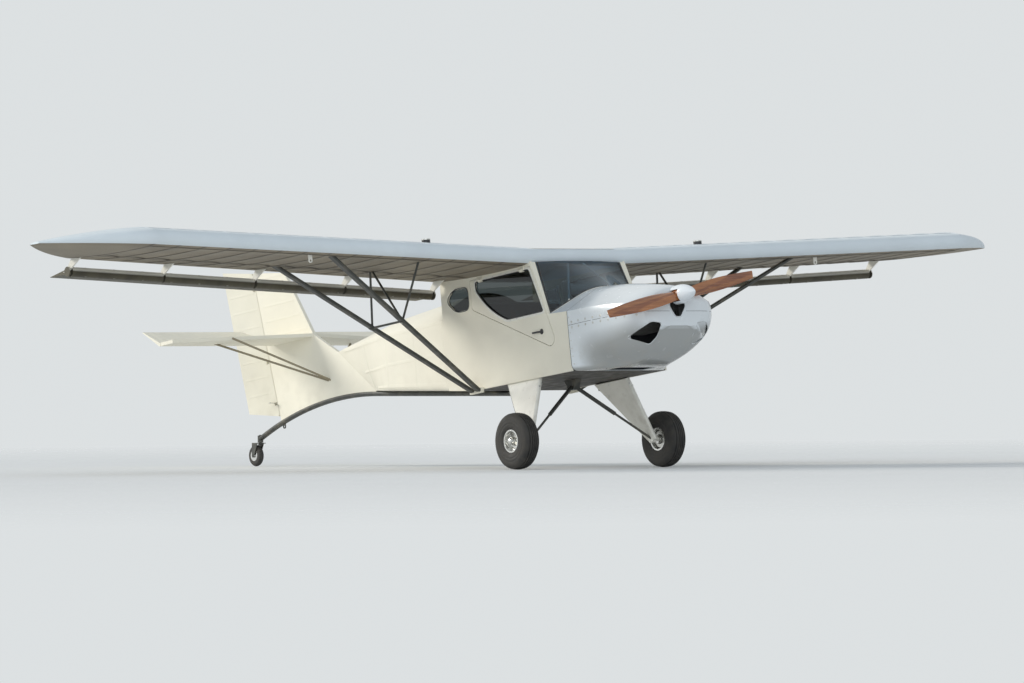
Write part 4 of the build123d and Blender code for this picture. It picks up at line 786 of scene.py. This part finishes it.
seams, fasteners, lips = shape(), shape(), shape()
for hand in (1, -1):
    split = sideways([(x, SPLIT_Z) for x in (410, 800, 1188)], hand)
    tape(seams, skin_path(COWL, split, PORT * -hand, 0.5), PORT * hand, 2.6, 0.4)
    split = [at(1500, y * hand, SPLIT_Z) for y in range(306, 74, -8)]
    tape(seams, skin_path(COWL, split, -AHEAD, 0.5), AHEAD, 2.6, 0.4)
    for x in range(450, 1160, 88):
        for z in (SPLIT_Z + 22, SPLIT_Z - 22):
            hit = meet(COWL, at(x, BESIDE * hand, z), PORT * -hand)
            turned(fasteners, *hit, FASTENER, 18)
    for z in range(20, 640, 62):
        hit = meet(COWL, at(REAR_X, BESIDE * hand, z), PORT * -hand)
        if hit:
            screw(fasteners, *hit, 3.6)
    edge, out = on_cheek(CHEEK, hand)
    swept(lips, edge, LIP, out, ring=True)
    if hand > 0:
        blank, middle, bulge = bulged(edge, on_cheek(grown(CHEEK, 20), hand)[0], out)
        for p in spaced(edge + edge[:1], 90):
            screw(fasteners, middle + (p - middle) * 0.9 + out * bulge * 0.19, out, 3.0)
        piece("cheek_blank", blank, shaded_gel, sharp=80)
for y in range(-240, 241, 60):
    hit = meet(COWL, at(REAR_X, y, 1100), -UP)
    screw(fasteners, *hit, 3.6)
laid = skin_path(COWL, [at(1600, p.x, p.y) for p in INTAKE], -AHEAD, 0.0)
swept(lips, laid, LIP, AHEAD, ring=True)
piece("cowl_seams", seams, black_plastic)
piece("cowl_fasteners", fasteners, steel)
piece("cowl_lips", lips, shaded_gel)
cooler = shape()
for k in range(17):
    z = 284 + 7.4 * k
    swept(cooler, line((COOLER_X, -98, z), (COOLER_X, 98, z), 1), bar_of(0.012, -0.0006, 0.0006), UP)
for y in (-100, -50, 0, 50, 100):
    swept(cooler, line((COOLER_X, y, 278), (COOLER_X, y, 410), 1), bar_of(0.013, -0.002, 0.002), PORT)
piece("oil_cooler", cooler, cast)

# Spinner screws
spin_screws, spin = shape(), at(1236, 0, 455)
for k in range(10):
    out = towards(PORT, UP, 2 * pi * k / 10 + 0.35)
    hit = meet(("spinner",), spin + out * 0.3, -out)
    if hit and (hit[0] - spin).length > 0.06:
        screw(spin_screws, *hit, 2.6)
piece("spinner_screws", spin_screws, steel, "propeller")

# Wheels: grooved tyres, hub caps, bolts, valves and brake discs
HALF = [(62, 92.4), (69, 104), (73.5, 122), (74.4, 136), (73.6, 138), (74.6, 140), (74.2, 162),
        (73.2, 164), (73.6, 166), (70, 188), (63.5, 204), (58, 209.5), (56, 213), (53, 216.5), (44, 220.8),
        (43, 215.5), (37, 215.8), (36, 222.4), (22, 224.2), (21, 218.6), (15, 218.8), (14, 224.8),
        (3.5, 225), (2.8, 219.2)]
TYRE = HALF + [(-y, r) for y, r in reversed(HALF)] + HALF[:1]
for side, hand in SIDES:
    hub = at(-45, 742 * hand, -532)
    axis = PORT * hand
    tyre, cap_mesh, discs = shape(), shape(), shape()
    turned(tyre, hub, axis, TYRE, 112)
    turned(cap_mesh, hub, axis, [(60, 31), (66, 31), (68, 27), (76, 25), (80, 20), (82, 9), (82.5, 0)], 40)
    for k in range(6):
        out = towards(AHEAD, UP, 2 * pi * k / 6 + 0.3)
        bolt(cap_mesh, hub + axis * 0.0215 + out * 0.052, axis, 5.2, 6.5)
        bolt(cap_mesh, hub + axis * 0.0632 + out * 0.0845, axis, 2.6, 3.0)
    stem = AHEAD * 0.8 + UP * 0.6
    tube(cap_mesh, [hub + axis * 0.030 + stem * 0.068, hub + axis * 0.058 + stem * 0.066], 3.4, 10)
    turned(discs, hub, -axis, [(34, 40), (34, 66), (35, 67), (39, 67), (40, 66), (40, 40), (34, 40)], 48)
    made = piece(f"tyre_tread_{side}", tyre, tyre_black, f"wheel_{side}", sharp=28)
    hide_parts(f"tyre_{side}")
    piece(f"hub_{side}", cap_mesh, alloy, f"wheel_{side}")
    piece(f"brake_disc_{side}", discs, steel, f"wheel_{side}")
hub = at(-4630, 0, -64)
tail_hub = shape()
for hand in (1, -1):
    turned(tail_hub, hub, PORT * hand, [(25, 46), (26.2, 45), (26.2, 20), (28.5, 18), (28.5, 9),
                                        (25, 8.5)], 32)
piece("tail_hub", tail_hub, alloy, "tail_wheel")

# Gear legs: bolts at the roots, brake hoses with clips; collars where the jury struts meet the lift struts
STRUTS = (((-795, 512, -24), (-124, 2418, 1009)), ((-875, 512, -24), (-861, 2430, 1016)))
COLLAR_Y = 1460
for side, hand in SIDES:
    leg = (f"gear_leg_{side}",)
    bolts, hose, clips = shape(), shape(), shape()
    for y, z in ((448, -75), (470, -95)):
        for start, way in ((at(400, y * hand, z), -AHEAD), (at(-900, y * hand, z), AHEAD)):
            hit = meet(leg, start, way)
            if hit:
                bolt(bolts, hit[0], -way, 7.0, 6.0)
    laid = skin_path(leg, line((-900, 460 * hand, -80), (-900, 610 * hand, -470), 12), AHEAD, 5.0)
    tube(hose, laid, 3.6, 10)
    run = laid[2] - laid[0]
    for p in laid[1:-1:3]:
        turned(clips, p - run.normalized() * 0.006, run, [(0, 4.4), (1, 5.2), (11, 5.2), (12, 4.4)], 14)
    piece(f"brake_hose_{side}", hose, black_plastic)
    piece(f"hose_clips_{side}", clips, steel)
    piece(f"leg_bolts_{side}", bolts, steel)
    collars, collar_bolts = shape(), shape()
    for a, b in STRUTS:
        start, end = at(a[0], a[1] * hand, a[2]), at(b[0], b[1] * hand, b[2])
        run = (end - start).normalized()
        middle = start.lerp(end, (COLLAR_Y - a[1]) / (b[1] - a[1]))
        front = (AHEAD - run * AHEAD.dot(run)).normalized()
        swept(collars, [middle - run * 0.016, middle + run * 0.016], ring_of(28, 0.0345, 0.0165),
              run.cross(front) * hand)
        for out in (front.cross(run), -front.cross(run)):
            bolt(collar_bolts, middle + out * 0.0165, out, 4.5, 4)
    piece(f"strut_collars_{side}", collars, dark)
    piece(f"collar_bolts_{side}", collar_bolts, steel)

# Cloth tapes: fuselage sides, fin, rudder, tailplane, elevator and flaperons
BODY_ROUTES = ([(-1236, 84), (-2700, 262)], [(-1236, 340), (-2900, 415)],
               [(-1236, 592), (-2341, 628), (-3200, 632)], [(-1244, 70), (-1244, 590)],
               [(-1800, 140), (-1800, 600)], [(-2330, 205), (-2330, 622)], [(-2780, 262), (-2780, 622)])
TAIL_RIBS, TAIL_Z = (210, 440, 670, 900, 1120), 829


def rib_tape(mesh, node, starts, way):
    """Lay a rib tape on a node's skin under a row of looks."""
    laid = skin_path((node,), starts, way)
    if len(laid) > 4:
        tape(mesh, laid[1:-1], -way, 22.0, 0.8)


def rib_tapes(mesh, node, front, back, y, z, reach, count):
    """Lay a rib tape along a chord on both faces, from looks that start a reach above and below."""
    for way in (1, -1):
        starts = line((front, y, z + reach * way), (back, y, z + reach * way), count)
        rib_tape(mesh, node, starts, UP * -way)


tapes = shape()
for hand in (1, -1):
    for route in BODY_ROUTES:
        laid = skin_path(("rear_fuselage",), sideways(route, hand), PORT * -hand)
        if len(laid) > 2:
            tape(tapes, laid, PORT * hand, 30.0, 0.9)
    for z in (900, 1030, 1160, 1290, 1400):
        rib_tape(tapes, "fin", sideways([(-3660, z), (-4450, z)], hand), PORT * -hand)
    for y in TAIL_RIBS:
        rib_tapes(tapes, "tailplane", -3640, -4210, y * hand, TAIL_Z, 400, 24)
piece("body_tapes", tapes, sunlit_cream_cloth)
rudder_tapes, elevator_tapes = shape(), shape()
for hand in (1, -1):
    for z in range(430, 1480, 145):
        rib_tape(rudder_tapes, "rudder", sideways([(-4225, z), (-4880, z)], hand), PORT * -hand)
    for y in TAIL_RIBS:
        rib_tapes(elevator_tapes, "elevator", -4190, -4440, y * hand, TAIL_Z, 400, 20)
piece("rudder_tapes", rudder_tapes, rudder_cloth, "rudder")
piece("elevator_tapes", elevator_tapes, sunlit_cream_cloth, "elevator")
for side, hand in SIDES:
    flap_tapes = shape()
    for k in range(13):
        rib_tapes(flap_tapes, f"flaperon_{side}", -1216, -1484, (690 + 270 * k) * hand, 950, 500, 20)
    piece(f"flaperon_tapes_{side}", flap_tapes, flap_skin_shaded_below, f"flaperon_{side}")

# Rudder horn with its clevis bolts, and a ring and screw on each fuel cap
horn = shape()
for hand in (1, -1):
    plate(horn, [at(x, y * hand, 335) for x, y in ((-4252, 14), (-4292, 14), (-4286, 74), (-4270, 84),
                                                   (-4254, 74))], UP, 4.0)
    bolt(horn, at(-4270, 68 * hand, 339), UP, 5.0, 5.0)
piece("rudder_horn", horn, steel, "rudder")
rings = shape()
for side, hand in SIDES:
    hit = meet((f"fuel_cap_{side}",), at(-170, 1378 * hand, 1400), -UP)
    turned(rings, hit[0], UP, [(-8, 34.2), (-8, 35.2), (-1, 35.2), (0.6, 33), (0.6, 27), (-0.2, 26)], 40)
    turned(rings, hit[0], UP, [(-0.2, 8), (2.4, 7.5), (3, 5), (3, 0)], 20)
piece("cap_rings", rings, steel)

# Instrument panel: round dials with marks and needles, a row of switches
PANEL_X = 169.8
DIALS = ((330, 500, 36), (242, 520, 36), (154, 530, 40), (56, 545, 30), (-20, 545, 30), (-96, 540, 30),
         (-180, 525, 40), (-270, 510, 36), (330, 420, 26), (262, 428, 26), (194, 432, 26), (-180, 432, 26),
         (-248, 428, 26))
bezels, marks = shape(), shape()
face = -AHEAD
for y, z, r in DIALS:
    middle = at(PANEL_X, y, z)
    turned(bezels, middle, face, [(0, r + 4), (5, r + 3), (6, r), (3, r - 2), (2.4, r - 3), (2.4, 0)], 36)
    for k in range(11):
        out = towards(UP, PORT, radians(-140 + 28 * k))
        run = [middle + face * 0.0026 + out * (r - gap) / 1000 for gap in (9, 4)]
        swept(marks, run, bar_of(0.0008, 0, 0.0003), face)
    out = towards(UP, PORT, radians(-70 + (y * 7 + z) % 150))
    run = [middle + face * 0.0032 - out * 0.006, middle + face * 0.0032 + out * (r - 8) / 1000]
    swept(marks, run, bar_of(0.001, 0, 0.0004), face)
for k in range(8):
    turned(bezels, at(PANEL_X, 100 - 26 * k, 432), face, [(0, 7), (3, 7), (4, 4), (16, 3), (20, 4.2),
                                                          (22, 0)], 14)
piece("dials", bezels, black_plastic)
piece("dial_marks", marks, white)

# Seats: two cushions each, swollen as cloth, with piping and belts
SEAT_Y, SEAT_HALF = 222.0, 178.0
BASE_FRONT, BASE_BACK = (-262, 190), (-622, 166)
REST_FOOT, REST_RISE = (-716, 196), 440
REST_TOP = (REST_FOOT[0] - REST_RISE * tan(radians(14.0)), REST_FOOT[1] + REST_RISE)


def pad_corners(near, far):
    """Give a pad's corners from the (x, z) of its near and its far edge."""
    right, left = SEAT_Y - SEAT_HALF, SEAT_Y + SEAT_HALF
    return [at(near[0], right, near[1]), at(near[0], left, near[1]),
            at(far[0], left, far[1]), at(far[0], right, far[1])]


def cushion(corners, thick, bulge):
    """Make a crowned closed pad over four corners, which rests flat on them; thick in mm."""
    mesh = shape()
    a, b, c, d = corners
    out = (b - a).cross(d - a).normalized()
    n = 26
    for layer in (0, 1):
        for i in range(n + 1):
            for j in range(n + 1):
                s, t = i / n, j / n
                low = a.lerp(b, s).lerp(d.lerp(c, s), t)
                crown = (1 - (2 * s - 1) ** 6) * (1 - (2 * t - 1) ** 6)
                rise = thick * 0.62 + (thick * 0.38 + bulge) * crown ** 0.5
                mesh[0].append(low + out * layer * rise / 1000)
    m = (n + 1) ** 2
    for i in range(n):
        for j in range(n):
            p = i * (n + 1) + j
            mesh[1].append((p, p + n + 1, p + n + 2, p + 1))
            mesh[1].append((m + p, m + p + 1, m + p + n + 2, m + p + n + 1))
    rim = ([i * (n + 1) for i in range(n)] + [n * (n + 1) + j for j in range(n)]
           + [(n - i) * (n + 1) + n for i in range(n)] + [n - j for j in range(n)])
    for p, q in zip(rim, rim[1:] + rim[:1]):
        mesh[1].append((p, q, m + q, m + p))
    return mesh, out


def evaluated(item):
    """Give an object as it stands with its modifiers."""
    return item.evaluated_get(bpy.context.evaluated_depsgraph_get())


def puffed(item, base, out, cap=0.022, frames=20):
    """Swell a pad with a short cloth run, hold each point near its start and the foot flat."""
    remesh = item.modifiers.new("remesh", "REMESH")
    remesh.mode, remesh.voxel_size = "VOXEL", 0.006
    item.data = bpy.data.meshes.new_from_object(evaluated(item))
    item.modifiers.clear()
    start = [v.co.copy() for v in item.data.vertices]
    soft = item.modifiers.new("cloth", "CLOTH")
    soft.settings.quality = 5
    soft.settings.use_pressure = True
    soft.settings.uniform_pressure_force = 4.0
    soft.settings.effector_weights.gravity = 0.0
    soft.point_cache.frame_start, soft.point_cache.frame_end = 1, frames
    for step in range(1, frames + 1):
        stage.frame_set(step)
    swollen = bpy.data.meshes.new_from_object(evaluated(item))
    item.modifiers.clear()
    stage.frame_set(1)
    for before, vertex, moved in zip(start, item.data.vertices, swollen.vertices):
        way = moved.co - before
        spot = before + way * min(1.0, cap / max(way.length, 1e-9))
        depth = (spot - base).dot(out)
        vertex.co = spot - out * min(0.0, depth)
    bpy.data.meshes.remove(swollen)
    more = item.modifiers.new("subdivision", "SUBSURF")
    more.levels = more.render_levels = 1


def dressed(name, corners, thick, bulge):
    """Make the finished port cushion and its piping."""
    mesh, out = cushion(corners, thick, bulge)
    pad = piece(name, mesh, seat_weave, sharp=80)
    puffed(pad, corners[0], out)
    pad.data.materials.clear()
    pad.data.materials.append(seat_weave)
    pad.data.polygons.foreach_set("use_smooth", [True] * len(pad.data.polygons))
    solid = evaluated(pad)
    middle = sum(corners, Vector()) / 4 + out * thick * 0.55 / 1000
    side = (corners[1] - corners[0]).normalized()
    other = out.cross(side)
    edge = []
    for k in range(96):
        way = towards(side, other, 2 * pi * k / 96)
        hit, place, _, _ = solid.ray_cast(middle + way * 0.6, -way)
        if hit:
            edge.append(place)
    piping = shape()
    swept(piping, edge, ring_of(8, 0.0035), out, ring=True)
    welt = piece(f"{name}_piping", piping, black_plastic)
    return pad, welt, solid


base_pad, base_welt, base_solid = dressed("seat_base_left", pad_corners(BASE_FRONT, BASE_BACK), 68, 6)
rest_pad, rest_welt, rest_solid = dressed("seat_rest_left", pad_corners(REST_FOOT, REST_TOP), 52, 6)
belts = shape()
for hand in (1, -1):
    lap = line((-640, SEAT_Y + hand * 190, 500), (-470, SEAT_Y + hand * 20, 500), 10)
    chest = line((-300, SEAT_Y + hand * 30, 330), (-300, SEAT_Y + hand * 90, 620), 12)
    for pad, starts, out in ((base_solid, lap, UP), (rest_solid, chest, AHEAD)):
        hits = [pad.ray_cast(p, -out) for p in starts]
        tape(belts, [place + out * 0.004 for hit, place, _, _ in hits if hit], out, 44.0, 1.6)
belt_left = piece("belts_left", belts, belt_weave)
buckle = shape()
hit, place, _, _ = base_solid.ray_cast(at(-472, SEAT_Y, 500), -UP)
spot = place + UP * 0.006
corners = [spot + (AHEAD * x + PORT * y) / 1000 for x, y in ((26, -30), (26, 30), (-26, 30), (-26, -30))]
plate(buckle, corners, UP, 9, 3)
bolt(buckle, spot + UP * 0.009, UP, 9.0, 3.0, 24)
buckle_left = piece("buckle_left", buckle, steel)
for item in (base_pad, rest_pad, base_welt, rest_welt, belt_left, buckle_left):
    twin = item.copy()
    twin.data = item.data.copy()
    twin.data.transform(Matrix.Translation((0, -2 * SEAT_Y / 1000, 0)))
    twin.name = item.name.replace("left", "right")
    stage.collection.objects.link(twin)
    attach(twin, "airframe")
    if item in (base_pad, rest_pad):
        for pad, side in ((item, "left"), (twin, "right")):
            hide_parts(f"seat_{side}")

# Floor, light and camera
bpy.ops.mesh.primitive_plane_add(size=900, location=(0, 0, -0.001))
floor = bpy.context.object
floor.name = "floor"
floor_look, tree, shader = tree_of("pale_floor")
pale = ramp(tree, noise_node(tree, 0.8, 6.0), [(0.3, (0.815, 0.825, 0.82)), (0.7, (0.83, 0.84, 0.835))])
feed(tree, shader, Base_Color=pale, Roughness=0.9)
far = put(tree, "ShaderNodeVectorMath", Vector=own(tree))
far.operation = "LENGTH"
fade = spread(tree, far.outputs["Value"], 0.0, 1.0, 9.0, 26.0)
hole = put(tree, "ShaderNodeBsdfTransparent")
surface = blend_shader(tree, fade, shader.outputs[0], hole.outputs[0])
feed(tree, tree.nodes["Material Output"], Surface=surface)
floor.data.materials.append(floor_look)

world = bpy.data.worlds.new("studio")
stage.world = world
world.use_nodes = True
tree = world.node_tree
back = feed(tree, tree.nodes["Background"], Color=(0.86, 0.93, 1.0, 1), Strength=0.50)
seen = put(tree, "ShaderNodeBackground", Color=(0.72, 0.75, 0.76, 1), Strength=1.0)
rays = put(tree, "ShaderNodeLightPath").outputs
straight = maths(tree, "MAXIMUM", rays["Is Camera Ray"], rays["Is Glossy Ray"])
straight = maths(tree, "MAXIMUM", straight, rays["Is Transmission Ray"])
surface = blend_shader(tree, straight, back.outputs[0], seen.outputs[0])
feed(tree, tree.nodes["World Output"], Surface=surface)

for name, power, angle, aim, colour in (
    ("key", 2.0, 20.0, Vector((0.68, 0.67, -0.39)), (1.0, 0.96, 0.89)),
    ("fill", 0.8, 60.0, Vector((-0.72, 0.62, -0.30)), (0.90, 0.95, 1.0)),
):
    lamp = bpy.data.lights.new(name, "SUN")
    lamp.energy, lamp.angle, lamp.color = power, radians(angle), colour
    light = bpy.data.objects.new(name, lamp)
    light.rotation_mode = "QUATERNION"
    light.rotation_quaternion = aim.to_track_quat("-Z", "Y")
    stage.collection.objects.link(light)

# The photograph's camera, with a longer lens on the aircraft; lengths in pixels of the photograph
EYE, AZIMUTH, ROLL = Vector((50.4305, -37.89, 0.677)), radians(38.261), radians(-0.479)
FOCAL, SHOWN_WIDTH = 3500.25, 465
LOOK_AT, MIDDLE, HORIZON = (457.5, 303.0), (512, 341.5), 321.908
level, right = Vector((-cos(AZIMUTH), sin(AZIMUTH), 0)), Vector((sin(AZIMUTH), cos(AZIMUTH), 0))
up = Vector((0, 0, 1))
du, dv = LOOK_AT[0] - MIDDLE[0], LOOK_AT[1] - MIDDLE[1]
across, down = du * cos(ROLL) + dv * sin(ROLL), -du * sin(ROLL) + dv * cos(ROLL) - (HORIZON - MIDDLE[1])
aim = (level * FOCAL + right * across - up * down).normalized()
side = aim.cross(up).normalized()
rotation = Matrix((side, side.cross(aim), -aim)).transposed() @ Matrix.Rotation(ROLL, 3, "Z")
lens = bpy.data.cameras.new("camera")
lens.sensor_width = 36
lens.lens = FOCAL * 36 / SHOWN_WIDTH
lens.clip_end = 1500
camera = bpy.data.objects.new("camera", lens)
camera.matrix_world = Matrix.Translation(EYE) @ rotation.to_4x4()
stage.collection.objects.link(camera)
stage.camera = camera
stage.view_settings.view_transform = "Standard"
